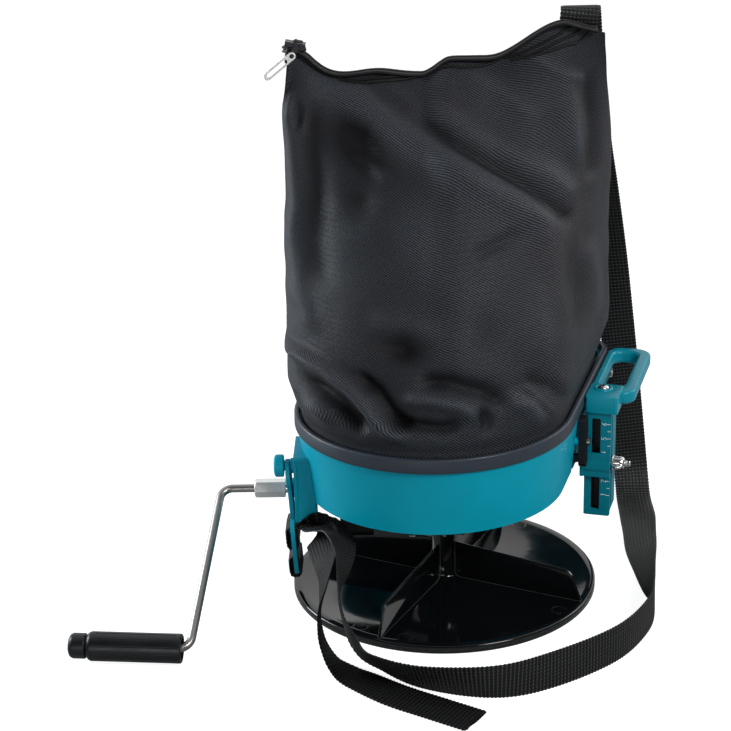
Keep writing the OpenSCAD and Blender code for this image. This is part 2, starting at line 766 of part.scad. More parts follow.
// The plan starts at the seam's left end, runs along the front to its right end, and returns
bag_half = bag_steps / 2;
corner_angle = 55;
front_turn = corner_angle + 180 - tub_yaw;
function plan_angle(i) = i <= bag_half ? tub_yaw - 180 + front_turn * i / bag_half
    : corner_angle + (360 - front_turn) * (i - bag_half) / bag_half;
function along_seam(i) = i <= bag_half ? i / bag_half : (bag_steps - i) / bag_half;
base_plan = [for (i = [0 : bag_steps - 1]) to_world(u_point(plan_angle(i), tub_r - 0.3, tub_back - 0.3))];
plan_min = min([for (p = base_plan) p[0]]);
plan_max = max([for (p = base_plan) p[0]]);

function bag_point(i, t, inset) = let (p = base_plan[i], blend = min(1, t * 9),
        plain = (p[0] - plan_min) / (plan_max - plan_min),
        share = plain + (along_seam(i) - plain) * pow(t, 1.5),
        left = plan_min + (bag_left(t) - plan_min) * blend + inset,
        right = plan_max + (bag_right(t) - plan_max) * blend - inset,
        dy = (p[1] - seam_y) * bag_depth(t),
        y = seam_y + sign(dy) * max(abs(dy) - inset, abs(dy) * 0.4),
        z = bag_lip + t * (seam_height(2 * share - 1) - bag_lip) - inset * t)
    [left + (right - left) * share, y, z];

function bag_ring(t, inset) = [for (i = [0 : bag_steps - 1]) bag_point(i, t, inset)];
function bag_foot(inset) = [for (i = [0 : bag_steps - 1]) let (p = bag_point(i, 0, inset)) [p[0], p[1], bag_low]];

module bag() {
    up = [0, 0.08, 0.17, 0.28, 0.4, 0.52, 0.64, 0.76, 0.87, 0.95, 1];
    rings = concat([bag_foot(0)], [for (t = up) bag_ring(t, 0)],
        [for (k = [len(up) - 1 : -1 : 0]) bag_ring(up[k] * 0.985, cloth_t)], [bag_foot(cloth_t)]);
    n = bag_steps;
    m = len(rings);
    top = len(up) * n;
    points = [for (r = rings) each r];
    skin = [for (j = [0 : m - 1], i = [0 : n - 1]) if (j * n != top) let (a = j * n + i, b = j * n + (i + 1) % n,
        c = ((j + 1) % m) * n + (i + 1) % n, d = ((j + 1) % m) * n + i) each [[a, c, b], [a, d, c]]];
    // The front and back edges meet in a strip along the seam, outside and inside
    seam = [for (i = [0 : bag_half - 1]) let (a = top + i, b = top + i + 1,
            c = top + (n - i - 1) % n, d = top + (n - i) % n)
        each concat(d == a ? [] : [[a, d, c], [a + n, c + n, d + n]],
            b == c ? [] : [[a, c, b], [a + n, b + n, c + n]])];
    color("#26272a") polyhedron(points, concat(skin, seam), convexity = 6);
}

// Webbing and zip tape: a flattened tube swept through points, each with the way its width runs
function unit(v) = v / norm(v);
function spline(a, b, c, d, t) = 0.5 * (2 * b + (c - a) * t + (2 * a - 5 * b + 4 * c - d) * t * t
    + (3 * b - a - 3 * c + d) * t * t * t);
function smooth(p, per) = let (n = len(p)) concat([for (i = [0 : n - 2], k = [0 : per - 1])
    spline(p[max(0, i - 1)], p[i], p[i + 1], p[min(n - 1, i + 2)], k / per)], [p[n - 1]]);

module band(route, width, w, t) {
    n = len(route);
    section = [[w / 2, -t / 4], [w / 2, t / 4], [w / 2 - 1, t / 2], [1 - w / 2, t / 2],
        [-w / 2, t / 4], [-w / 2, -t / 4], [1 - w / 2, -t / 2], [w / 2 - 1, -t / 2]];
    points = [for (i = [0 : n - 1]) let (fwd = unit(route[min(n - 1, i + 1)] - route[max(0, i - 1)]),
            side = unit(width[i] - fwd * (width[i] * fwd)), up = cross(side, fwd))
        for (q = section) route[i] + side * q[0] + up * q[1]];
    faces = concat([[for (k = [0 : 7]) k]], [[for (k = [7 : -1 : 0]) (n - 1) * 8 + k]],
        [for (i = [0 : n - 2], k = [0 : 7]) let (a = i * 8 + k, b = i * 8 + (k + 1) % 8)
            each [[a, a + 8, b + 8], [a, b + 8, b]]]);
    polyhedron(points, faces, convexity = 8);
}

module bag_zipper() {
    left = bag_left(1);
    right = bag_right(1);
    route = [for (i = [1 : bag_half - 1]) let (f = i / bag_half)
        [left + (right - left) * f, seam_y, seam_height(2 * f - 1) + 2.1]];
    color("#1a1b1d") band(route, [for (p = route) [0, 1, 0]], 9, 3.6);
}

// The slider sits at the seam's left end. Its lug carries the pull on a pin along Y.
pull_at = [-109.5, seam_y - 7.9, 414];

module zipper_slider() {
    color("#9ea2a6") {
        translate([bag_left(1), seam_y, seam_height(-1)]) rotate([0, 10, 0]) box(-4.5, 11, -6, 4, 0.4, 5.2);
        translate(pull_at) {
            plate_y(0.2, 2.2) polygon([[-2.2, -1.4], [0, -2.4], [2.2, -1], [6, 5.5], [4, 10], [-2, 1.6]]);
            along_y(-2.1, 1, 2);
            along_y(-2.6, -2, 3.4);
        }
    }
}

module zipper_pull() {
    color("#b4b8bc") translate(pull_at) difference() {
        plate_y(-1.9, 1.8) rotate(219) difference() {
            round_rect(-3, 27, -3, 3, 2.9);
            round_rect(5, 24.5, -1.6, 1.6, 1.5);
        }
        along_y(-3, 1, 2 + 2 * run_gap);
    }
}

strap_ctrl = [
    [107, 73.5, 420], [107, 70.5, 430.5], [108, 71, 440.5], [109, 80, 442.5], [111, 90, 434],
    [114, 102, 410], [120, 122, 370], [127, 142, 324], [136, 158, 275],
    [145.5, 170, 215], [152.5, 173, 160], [158.5, 173, 110], [164, 172, 60], [168, 168, 20],
    [168.5, 148, 2.5], [167.5, 115, 3], [165.5, 81, 6.5], [162.5, 45, 9], [161.5, 9, 12.5], [160.5, -25, 14.5],
    [160.5, -55, 15.2], [152.5, -90, 15], [124, -134, 15], [74, -171, 15], [31, -187, 15], [-20, -176, 13],
    [-53, -153, 13], [-68, -138, 20], [-77, -126, 36], [-80, -112, 52], [-78, -94, 64],
    [-80, -68, 70.5], [-88, -46, 68], [-97, -30, 64.9], [-102, -22.5, 64.6], [-106, -20, 64.6]];
strap_side = [
    [1, 0, 0], [1, 0, 0], [1, 0, 0], [1, 0, 0], [1, 0, 0], [1, -0.1, 0], [1, -0.2, 0], [1, -0.3, 0],
    [1, -0.3, 0], [1, -0.2, 0], [1, -0.1, 0],
    [1, 0, 0], [1, 0, 0], [1, 0, 0], [1, 0, 0], [0.99, 0, 0.12], [0.92, 0, 0.4], [0.82, 0, 0.56], [0.6, 0, 0.8],
    [0.32, 0, 0.95], [0, 0, 1], [0, 0, 1], [0, 0, 1], [0, 0, 1], [0, -0.2, 0.98], [0, -0.5, 0.87],
    [0.05, -0.75, 0.66], [0.3, -0.85, 0.45], [0.1, -0.9, 0.4], [0, -0.75, 0.55], [-0.3, -0.6, 0.7],
    [-0.7, -0.5, 0.5], [-0.6, -0.8, 0.2], [-0.3, -1, 0], [-0.1, -1, 0], [0, -1, 0]];

tail_ctrl = [
    [-109.5, -16.5, 62.2], [-103.5, -19, 61.5], [-97.5, -31, 60.5], [-92, -56, 60], [-89, -84, 57],
    [-91, -106, 48], [-94, -122, 36], [-92, -134, 22], [-85, -143, 10], [-74, -151, 3.2],
    [-59, -163, 1.6], [-37, -181, 1.2], [-11, -198, 1.2], [17, -216, 1.2]];
tail_side = [
    [0, -1, 0], [0.1, -1, 0], [0.3, -0.9, 0.1], [0.6, -0.6, 0.4], [0.4, -0.6, 0.6], [0.2, -0.7, 0.6],
    [0, -0.8, 0.5], [-0.1, -0.9, 0.4], [-0.2, -0.9, 0.3], [-0.4, -0.9, 0.15], [-0.5, -0.85, 0.05],
    [-0.5, -0.85, 0], [-0.5, -0.85, 0], [-0.5, -0.85, 0]];

module strap_main() {
    color("#18191b") band(smooth(strap_ctrl, 2), smooth(strap_side, 2), strap_w, strap_t);
}

module strap_tail() {
    color("#18191b") band(smooth(tail_ctrl, 2), smooth(tail_side, 2), strap_w, strap_t);
}

spinner();
spinner_shaft();
hub_pin();
pinion();
crown_gear();
drive_shaft();
hex_coupler();
crank_rod();
crank_grip();
grip_cap();
crank_bush();
hopper_tub();
rim_band();
gear_housing();
gear_cover();
housing_screws();
cover_screws();
shaft_bearing();
bearing_screws();
gate_plate();
bell_crank();
bell_pin();
gate_lever();
lever_stud();
gauge_column();
column_liner();
rate_stop();
clamp_bolt();
wing_nut();
side_handle();
column_screw();
flange_screws();
hanger_pin();
strap_hanger();
strap_wrap();
bag();
bag_zipper();
zipper_slider();
zipper_pull();
strap_main();
strap_tail();
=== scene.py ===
import bpy, bmesh, math, random
from mathutils import Matrix, Vector, noise


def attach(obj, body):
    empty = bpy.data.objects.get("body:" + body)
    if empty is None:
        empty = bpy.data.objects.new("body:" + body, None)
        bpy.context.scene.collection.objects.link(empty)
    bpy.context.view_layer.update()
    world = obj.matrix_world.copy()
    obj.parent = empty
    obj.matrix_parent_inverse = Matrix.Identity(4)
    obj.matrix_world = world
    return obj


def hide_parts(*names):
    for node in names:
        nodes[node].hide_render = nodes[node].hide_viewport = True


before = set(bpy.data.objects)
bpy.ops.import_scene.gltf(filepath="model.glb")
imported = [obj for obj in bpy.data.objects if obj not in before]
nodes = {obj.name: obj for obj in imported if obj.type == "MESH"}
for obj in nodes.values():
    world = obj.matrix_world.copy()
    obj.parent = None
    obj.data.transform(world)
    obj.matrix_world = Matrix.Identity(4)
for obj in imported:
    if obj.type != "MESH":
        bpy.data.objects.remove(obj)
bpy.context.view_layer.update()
scene = bpy.context.scene
print("frame loaded")

# Lengths below are in millimetres and become metres through unit.
unit = 0.001
tubTurn = -15.4
tubFrame = Matrix.Translation((-0.006, 0.011, 0)) @ Matrix.Rotation(math.radians(tubTurn), 4, "Z")


def inMetres(points):
    return [Vector(p) * unit for p in points]


def turned(degrees, axis):
    return Matrix.Rotation(math.radians(degrees), 4, axis)


def ease(x):
    c = max(0, min(1, x))
    return c * c * (3 - 2 * c)


def linkNew(name, mesh):
    obj = bpy.data.objects.new(name, mesh)
    scene.collection.objects.link(obj)
    return obj


# Camera, fitted to the disc's ellipse in the photo
cameraValues = {"place": (-0.0247, -1.3615, 0.7028), "down": 20.86, "roll": -0.93, "lens": 93.57,
    "shift": -0.0609}
cameraData = bpy.data.cameras.new("camera")
cameraData.sensor_width = 36
cameraData.lens = cameraValues["lens"]
cameraData.shift_x = cameraValues["shift"]
camera = linkNew("camera", cameraData)
camera.matrix_world = (Matrix.Translation(cameraValues["place"])
    @ turned(90 - cameraValues["down"], "X") @ turned(cameraValues["roll"], "Z"))
scene.camera = camera
scene.view_settings.view_transform = "Standard"


# Node helpers
def addNodes(tree, *kinds):
    return [tree.nodes.new("ShaderNode" + kind) for kind in kinds]


def feed(tree, node, values):
    # Fills sockets by name or number: an output is linked, a plain value is written
    for name, x in values.items():
        if isinstance(x, bpy.types.NodeSocket):
            tree.links.new(x, node.inputs[name])
        else:
            node.inputs[name].default_value = x


def newMaterial(name):
    material = bpy.data.materials.new(name)
    material.use_nodes = True
    tree = material.node_tree
    tree.nodes.clear()
    out, shader = addNodes(tree, "OutputMaterial", "BsdfPrincipled")
    feed(tree, out, {"Surface": shader.outputs["BSDF"]})
    return material, tree, shader


def textureSpace(tree, kind, scale=(1, 1, 1), turn=0):
    source, place = addNodes(tree, "TexCoord", "Mapping")
    feed(tree, place, {"Vector": source.outputs[kind], "Scale": scale, "Rotation": (0, 0, math.radians(turn))})
    return place.outputs["Vector"]


def noiseValue(tree, vector, scale, detail=3, rough=0.5):
    node = tree.nodes.new("ShaderNodeTexNoise")
    feed(tree, node, {"Vector": vector, "Scale": scale, "Detail": detail, "Roughness": rough})
    return node.outputs["Fac"]


def waveValue(tree, vector, scale, direction, distortion):
    node = tree.nodes.new("ShaderNodeTexWave")
    node.bands_direction = direction
    feed(tree, node, {"Vector": vector, "Scale": scale, "Distortion": distortion})
    return node.outputs["Fac"]


def remap(tree, value, fromLow, fromHigh, toLow, toHigh):
    node = tree.nodes.new("ShaderNodeMapRange")
    feed(tree, node, {"Value": value, "From Min": fromLow, "From Max": fromHigh, "To Min": toLow,
        "To Max": toHigh})
    return node.outputs["Result"]


def combine(tree, operation, a, b):
    node = tree.nodes.new("ShaderNodeMath")
    node.operation = operation
    feed(tree, node, {0: a, 1: b})
    return node.outputs["Value"]


def blendColors(tree, factor, a, b):
    node = tree.nodes.new("ShaderNodeMix")
    node.data_type = "RGBA"
    a, b = ((*x, 1) if isinstance(x, tuple) else x for x in (a, b))
    feed(tree, node, {"Factor": factor, 6: a, 7: b})
    return node.outputs[2]


def addBump(tree, height, distance, strength, below=None):
    node = tree.nodes.new("ShaderNodeBump")
    feed(tree, node, {"Height": height, "Distance": distance, "Strength": strength})
    if below:
        feed(tree, node, {"Normal": below})
    return node.outputs["Normal"]


def edgeMask(tree, radius):
    # 1 on sharp edges, 0 on open faces
    soft, surface, dot = addNodes(tree, "Bevel", "NewGeometry", "VectorMath")
    soft.samples = 4
    feed(tree, soft, {"Radius": radius})
    dot.operation = "DOT_PRODUCT"
    feed(tree, dot, {0: soft.outputs["Normal"], 1: surface.outputs["Normal"]})
    return remap(tree, dot.outputs["Value"], 0.99, 0.8, 0, 1)


# Materials
def moulded(name, color, paler, rough, grain, shine=0.5):
    # Injection moulded plastic: faint flow marks, a fine grain, and paler edges, partly rubbed wear and partly
    # painted highlight
    material, tree, shader = newMaterial(name)
    space = textureSpace(tree, "Object")
    broad = noiseValue(tree, space, 14, 2)
    fine = noiseValue(tree, space, grain, 2)
    base = blendColors(tree, remap(tree, broad, 0.3, 0.7, 0, 1), color, tuple(c * 0.88 for c in color))
    # Sharp edges are painted paler: partly rubbed wear, partly painted highlight
    wornAndHighlit = blendColors(tree, combine(tree, "MULTIPLY", edgeMask(tree, 0.0007), 0.5), base, paler)
    dull = remap(tree, noiseValue(tree, space, 90, 4), 0.3, 0.7, rough * 0.85, rough * 1.2)
    feed(tree, shader, {"Base Color": wornAndHighlit, "Roughness": dull, "Normal": addBump(tree, fine, 0.00003, 0.35)})
    shader.inputs["Specular IOR Level"].default_value = shine
    return material


def metal(name, color, rough, streak):
    # Drawn or plated steel with fine scratches along one way
    material, tree, shader = newMaterial(name)
    space = textureSpace(tree, "Object", streak)
    scratch = noiseValue(tree, space, 900, 3, 0.6)
    feed(tree, shader, {"Base Color": blendColors(tree, scratch, tuple(c * 0.82 for c in color), color),
        "Roughness": remap(tree, scratch, 0.3, 0.7, rough * 0.8, rough * 1.25),
        "Normal": addBump(tree, scratch, 0.00002, 0.3)})
    shader.inputs["Metallic"].default_value = 1
    return material


tealPlastic = moulded("tealPlastic", (0.0003, 0.31, 0.43), (0.006, 0.37, 0.45), 0.4, 1600, 0.14)
tealHandle = moulded("tealHandle", (0.0003, 0.25, 0.34), (0.006, 0.34, 0.4), 0.3, 1600, 0.24)
tealDeep = moulded("tealDeep", (0.0003, 0.19, 0.26), (0.006, 0.27, 0.32), 0.38, 1600, 0.16)
greyBand = moulded("greyBand", (0.028, 0.037, 0.051), (0.11, 0.12, 0.13), 0.42, 1800, 0.3)
blackPlastic = moulded("blackPlastic", (0.0045, 0.005, 0.006), (0.022, 0.024, 0.027), 0.38, 1500, 0.35)
gripPlastic = moulded("gripPlastic", (0.004, 0.0052, 0.0068), (0.02, 0.023, 0.027), 0.36, 2600, 0.35)
gearPlastic = moulded("gearPlastic", (0.6, 0.57, 0.5), (0.75, 0.73, 0.68), 0.5, 1500)
steel = metal("steel", (0.66, 0.65, 0.63), 0.26, (1, 0.12, 1))
satinSteel = metal("satinSteel", (0.72, 0.72, 0.7), 0.42, (1, 1, 0.3))
brightZinc = metal("brightZinc", (0.93, 0.93, 0.92), 0.5, (1, 1, 0.3))
sliderMetal = metal("sliderMetal", (0.035, 0.036, 0.04), 0.35, (1, 1, 0.3))
rodSteel = metal("rodSteel", (0.33, 0.325, 0.31), 0.36, (1, 1, 0.2))
platedSteel = metal("platedSteel", (0.78, 0.78, 0.77), 0.2, (1, 1, 0.3))
whiteInk, inkTree, inkShader = newMaterial("whiteInk")
inkSpeckle = noiseValue(inkTree, textureSpace(inkTree, "Object"), 700)
inkColor = blendColors(inkTree, inkSpeckle, (0.62, 0.72, 0.73), (0.85, 0.9, 0.9))
feed(inkTree, inkShader, {"Base Color": inkColor, "Roughness": 0.5})


def glossBlackMaterial():
    # Polished black styrene: a mirror with faint swirls, dust and thin scratches, and paler edges that are
    # partly wear and partly painted highlight
    material, tree, shader = newMaterial("glossBlack")
    space = textureSpace(tree, "Object")
    dust = remap(tree, noiseValue(tree, space, 260, 5, 0.7), 0.62, 0.8, 0, 1)
    smear = remap(tree, noiseValue(tree, space, 22, 3), 0.45, 0.75, 0, 1)
    dusty, wornAndHighlit = combine(tree, "MULTIPLY", dust, 0.35), combine(tree, "MULTIPLY", edgeMask(tree, 0.0005), 0.6)
    base = blendColors(tree, dusty, (0.0035, 0.0042, 0.0048), (0.03, 0.032, 0.034))
    # The edges are painted pale grey: partly wear, partly painted highlight
    feed(tree, shader, {"Base Color": blendColors(tree, wornAndHighlit, base, (0.16, 0.17, 0.17)),
        "Roughness": remap(tree, smear, 0, 1, 0.05, 0.14),
        "Normal": addBump(tree, noiseValue(tree, space, 34, 2), 0.0004, 0.12)})
    return material


def bagClothMaterial():
    # Coated nylon: a diagonal twill in the cloth's own UV in millimetres; the glint on its ribs is partly their
    # lower roughness and partly painted highlight in their paler colour, and the near-black gaps between them
    # are painted shade
    material, tree, shader = newMaterial("bagCloth")
    twill = waveValue(tree, textureSpace(tree, "UV", (1, 1, 1), -57), 0.19, "X", 0.6)
    cross = waveValue(tree, textureSpace(tree, "UV", (1, 1, 1), 24), 0.25, "Y", 0.4)
    slub = noiseValue(tree, textureSpace(tree, "UV", (0.9, 0.6, 1), -57), 1, rough=0.75)
    weave = combine(tree, "ADD", combine(tree, "MULTIPLY", twill, 0.36), combine(tree, "MULTIPLY", cross, 0.2))
    weave = combine(tree, "ADD", weave, combine(tree, "MULTIPLY", slub, 0.75))
    space = textureSpace(tree, "Object")
    broad = remap(tree, noiseValue(tree, space, 9, 2), 0.3, 0.7, 0, 1)
    # Twill pattern, with the ribs painted paler as painted highlight and the gaps painted near black as painted
    # shade
    ribs = blendColors(tree, broad, (0.060, 0.075, 0.092), (0.075, 0.075, 0.092))
    shadedGaps = blendColors(tree, broad, (0.0012, 0.0014, 0.0022), (0.0022, 0.0020, 0.0030))
    # Painted shade and light: the cloth's colour is darkened in the fold valleys and paled along the ridges,
    # from the fold depth kept as press
    press = tree.nodes.new("ShaderNodeAttribute")
    press.attribute_name = "press"
    weaveAndPaintedFoldShade = combine(tree, "MULTIPLY", remap(tree, weave, 0.45, 0.92, 0, 1),
        remap(tree, press.outputs["Fac"], -5.8, 5, 0.04, 1))
    creased = addBump(tree, noiseValue(tree, space, 48, 4, 0.6), 0.0014, 0.35)
    feed(tree, shader, {"Base Color": blendColors(tree, weaveAndPaintedFoldShade, shadedGaps, ribs),
        "Roughness": remap(tree, weave, 0.1, 0.9, 0.7, 0.5),
        "Normal": addBump(tree, weave, 0.0004, 0.8, creased)})
    shader.inputs["Sheen Weight"].default_value = 0.03
    shader.inputs["Sheen Roughness"].default_value = 0.3
    shader.inputs["Specular IOR Level"].default_value = 0.17
    return material


def webbingMaterial(name, light, shine=0.3):
    # Polypropylene webbing: small warp beads across each rib, in the strap's own UV in millimetres; its colour
    # is painted darker in the weave's hollows as painted shade, and much paler on the rib crests as painted
    # highlight
    material, tree, shader = newMaterial(name)
    flat = textureSpace(tree, "UV")
    beads = waveValue(tree, flat, 0.105, "X", 0.1)
    ribs = waveValue(tree, flat, 0.1047, "Y", 0)
    fuzz = noiseValue(tree, textureSpace(tree, "Object"), 1500, 4, 0.6)
    height = combine(tree, "ADD", combine(tree, "MULTIPLY", beads, ribs), combine(tree, "MULTIPLY", fuzz, 0.4))
    # Painted shade: the colour darkens toward the weave's hollows
    tone = remap(tree, height, 0.2, 1.2, 0, 1)
    shadedHollows = blendColors(tree, tone, tuple(0.28 * c for c in light), light)
    # Painted highlight: the rib crests are painted much paler
    thread = combine(tree, "MULTIPLY", remap(tree, ribs, 0.86, 0.99, 0, 1),
        remap(tree, beads, 0.2, 0.7, 0.35, 1))
    feed(tree, shader, {"Base Color": blendColors(tree, thread, shadedHollows, tuple(11 * c for c in light)),
        "Roughness": remap(tree, fuzz, 0.3, 0.7, 0.38, 0.6), "Normal": addBump(tree, height, 0.0006, 0.8)})
    shader.inputs["Sheen Weight"].default_value = 0.01
    shader.inputs["Specular IOR Level"].default_value = shine
    return material


glossBlack = glossBlackMaterial()
bagCloth = bagClothMaterial()
webbing = webbingMaterial("webbing", (0.0062, 0.0066, 0.0068))
# The strap's free end gets a darker, duller copy of the same webbing: painted shade
webbingShadedCopy = webbingMaterial("webbingShadedCopy", (0.0022, 0.0023, 0.0025), 0.14)
zipTape = webbingMaterial("zipTape", (0.0055, 0.0058, 0.0062))
print("materials made")


# Shared shape helpers
def finishPiece(name, shape, body, material, replaced, bevel=0, segments=2, angle=32, merge=2e-6):
    # Turns a bmesh into a smooth object that rides a body; bevel is in millimetres
    if merge:
        bmesh.ops.remove_doubles(shape, verts=shape.verts, dist=merge)
    bmesh.ops.recalc_face_normals(shape, faces=shape.faces)
    for f in shape.faces:
        f.smooth = True
    mesh = bpy.data.meshes.new(name)
    shape.to_mesh(mesh)
    shape.free()
    mesh.materials.append(material)
    mesh.set_sharp_from_angle(angle=math.radians(angle))
    obj = linkNew(name, mesh)
    if bevel:
        rounding = obj.modifiers.new("rounding", "BEVEL")
        rounding.width = bevel * unit
        rounding.segments = segments
        rounding.limit_method = "ANGLE"
        rounding.angle_limit = math.radians(angle)
        rounding.use_clamp_overlap = True
        shading = obj.modifiers.new("shading", "WEIGHTED_NORMAL")
        shading.keep_sharp = True
        shading.weight = 60
    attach(obj, body)
    if replaced:
        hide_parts(*replaced)
    return obj


def dressNode(node, body, material, bevel, segments=2, angle=32):
    # A merged copy of a CAD node with rounded edges
    shape = bmesh.new()
    shape.from_mesh(nodes[node].data)
    bmesh.ops.remove_doubles(shape, verts=shape.verts, dist=4e-6)
    bmesh.ops.dissolve_limit(shape, angle_limit=math.radians(0.6), verts=shape.verts, edges=shape.edges)
    finishPiece(node + "_shown", shape, body, material, (node,), bevel, segments, angle)


def lathe(shape, profile, steps):
    # Spins an open profile of (radius, height) about local Z
    verts = [shape.verts.new(Vector((r, 0, z)) * unit) for r, z in profile]
    edges = [shape.edges.new((a, b)) for a, b in zip(verts, verts[1:])]
    bmesh.ops.spin(shape, geom=verts + edges, cent=(0, 0, 0), axis=(0, 0, 1), angle=2 * math.pi, steps=steps,
        use_merge=True, use_duplicate=False)


def placeShape(shape, matrix):
    bmesh.ops.transform(shape, matrix=matrix, verts=shape.verts)


def prism(points, thick, place, bevel=0, segments=2):
    # A flat outline in local XY, thick along local Z, with rounded edges, as its own bmesh
    shape = bmesh.new()
    face = shape.faces.new([shape.verts.new(Vector((x, y, 0)) * unit) for x, y in points])
    raised = bmesh.ops.extrude_face_region(shape, geom=[face])["geom"]
    raised = [v for v in raised if isinstance(v, bmesh.types.BMVert)]
    bmesh.ops.translate(shape, vec=Vector((0, 0, thick * unit)), verts=raised)
    if bevel:
        bmesh.ops.bevel(shape, geom=list(shape.edges), offset=bevel * unit, offset_type="OFFSET",
            segments=segments, profile=0.5, affect="EDGES", clamp_overlap=True, material=-1)
    placeShape(shape, place)
    return shape


def absorb(target, *others):
    # Adds other shapes to a shape
    for other in others:
        mesh = bpy.data.meshes.new("joined")
        other.to_mesh(mesh)
        other.free()
        target.from_mesh(mesh)
        bpy.data.meshes.remove(mesh)


def skinRings(shape, rings, loop=False):
    # Rings of points joined one to the next, with end caps unless they run in a loop
    made = [[shape.verts.new(p) for p in ring] for ring in rings]
    count = len(made[0])
    for a, b in list(zip(made, made[1:])) + ([(made[-1], made[0])] if loop else []):
        for k in range(count):
            shape.faces.new((a[k], a[(k + 1) % count], b[(k + 1) % count], b[k]))
    if not loop:
        shape.faces.new(list(reversed(made[0])))
        shape.faces.new(made[-1])
    return made


def spline(points, per):
    # A smooth curve through the points, with so many steps between each two
    out = []
    last = len(points) - 1
    for i in range(last):
        a, b, c, d = (points[max(0, i - 1)], points[i], points[i + 1], points[min(last, i + 2)])
        for k in range(per):
            t = k / per
            out.append(0.5 * (2 * b + (c - a) * t + (2 * a - 5 * b + 4 * c - d) * t * t
                + (3 * b - a - 3 * c + d) * t * t * t))
    return out + [points[last].copy()]


def evenly(points, companions, step):
    # Points at equal steps along a line, with the companion vectors carried along
    lengths = [0]
    for a, b in zip(points, points[1:]):
        lengths.append(lengths[-1] + (b - a).length)
    count = max(2, round(lengths[-1] / step))
    out, side, k = [], [], 0
    for i in range(count + 1):
        want = lengths[-1] * i / count
        while k < len(points) - 2 and lengths[k + 1] < want:
            k += 1
        share = (want - lengths[k]) / max(1e-12, lengths[k + 1] - lengths[k])
        out.append(points[k].lerp(points[k + 1], share))
        side.append(companions[k].lerp(companions[k + 1], share))
    return out, side, lengths[-1]


def wayAlong(line, i, loop=False):
    last = len(line) - 1
    ahead = line[(i + 1) % (last + 1)] if loop else line[min(last, i + 1)]
    behind = line[i - 1] if loop else line[max(0, i - 1)]
    return (ahead - behind).normalized()


strapValues = {"width": 30, "thick": 1.8, "pitch": 3.0}


def webbingStrip(name, points, sides, material, body, replaced, relief=0.34, scallop=0.5, fray=0, loop=False):
    # A woven strap: cross ribs every pitch, scalloped selvedges and a thinner edge
    width, thick, pitch = strapValues["width"], strapValues["thick"], strapValues["pitch"]
    line, side, length = evenly(points, sides, pitch / 6 * unit)
    shape = bmesh.new()
    layer = shape.loops.layers.uv.new("flat")
    across = [-1, -0.93, -0.8, -0.5, 0, 0.5, 0.8, 0.93, 1]
    rings, along = [], []
    random.seed(7)
    count = len(line)
    for i, p in enumerate(line):
        s = i * length / (count - 1)
        phase = math.cos(2 * math.pi * s / (pitch * unit))
        forward = wayAlong(line, i, loop)
        w = (side[i] - forward * side[i].dot(forward)).normalized()
        up = w.cross(forward)
        half = width / 2 * unit - scallop * unit * (0.5 - 0.5 * phase)
        end = 0 if not fray else fray * unit * max(0, 1 - (length - s) / (2 * unit))
        top, low = [], []
        for u in across:
            edge = 1 - 0.45 * ease((abs(u) - 0.8) / 0.2)
            h = (thick / 2 - relief * (0.5 - 0.5 * phase)) * unit * edge
            shift = forward * random.uniform(-end, end)
            top.append(p + w * (u * half) + up * h + shift)
            low.append(p + w * (u * half) - up * h + shift)
        rings.append(top + low[::-1])
        along.append(s)
    if loop:
        rings.pop()
    made = skinRings(shape, rings, loop=loop)
    where = {v: (i, k) for i, ring in enumerate(made) for k, v in enumerate(ring)}
    n = len(across)
    for f in shape.faces:
        rows = [where[l.vert][0] for l in f.loops]
        wrap = loop and max(rows) - min(rows) > 2
        for l in f.loops:
            i, k = where[l.vert]
            u = across[k] if k < n else across[2 * n - 1 - k]
            s = along[i] + (length if wrap and i == 0 else 0)
            l[layer].uv = (u * width / 2, s / unit)
    obj = finishPiece(name, shape, body, material, replaced, angle=50, merge=0)
    return obj, line, length


# Straps: the same route points as the CAD, and beside each the way its width runs
mainRoute = [
    (107, 73.5, 420), (107, 70.5, 430.5), (108, 71, 440.5), (109, 80, 442.5), (111, 90, 434),
    (114, 102, 410), (120, 122, 370), (127, 142, 324), (136, 158, 275),
    (145.5, 170, 215), (152.5, 173, 160), (158.5, 173, 110), (164, 172, 60), (168, 168, 20),
    (168.5, 148, 2.5), (167.5, 115, 3), (165.5, 81, 6.5), (162.5, 45, 9), (161.5, 9, 12.5), (160.5, -25, 14.5),
    (160.5, -55, 15.2), (152.5, -90, 15), (124, -134, 15), (74, -171, 15), (31, -187, 15), (-20, -176, 13),
    (-53, -153, 13), (-68, -138, 20), (-77, -126, 36), (-80, -112, 52), (-78, -94, 64),
    (-80, -68, 70.5), (-88, -46, 68), (-97, -30, 64.9), (-102, -22.5, 64.6), (-106, -20, 64.6)]
mainSides = [
    *[(1, 0, 0)] * 5, (1, -0.1, 0), (1, -0.2, 0), (1, -0.3, 0), (1, -0.3, 0), (1, -0.2, 0), (1, -0.1, 0),
    *[(1, 0, 0)] * 4, (0.99, 0, 0.12), (0.92, 0, 0.4), (0.82, 0, 0.56), (0.6, 0, 0.8), (0.32, 0, 0.95),
    *[(0, 0, 1)] * 4, (0, -0.2, 0.98), (0, -0.5, 0.87),
    (0.05, -0.75, 0.66), (0.3, -0.85, 0.45), (0.1, -0.9, 0.4), (0, -0.75, 0.55), (-0.3, -0.6, 0.7),
    (-0.7, -0.5, 0.5), (-0.6, -0.8, 0.2), (-0.3, -1, 0), (-0.1, -1, 0), (0, -1, 0)]
tailRoute = [
    (-109.5, -16.5, 62.2), (-103.5, -19, 61.5), (-97.5, -31, 60.5), (-92, -56, 60), (-89, -84, 57),
    (-91, -106, 48), (-94, -122, 36), (-92, -134, 22), (-85, -143, 10), (-74, -151, 3.2),
    (-59, -163, 1.6), (-37, -181, 1.2), (-11, -198, 1.2), (17, -216, 1.2)]
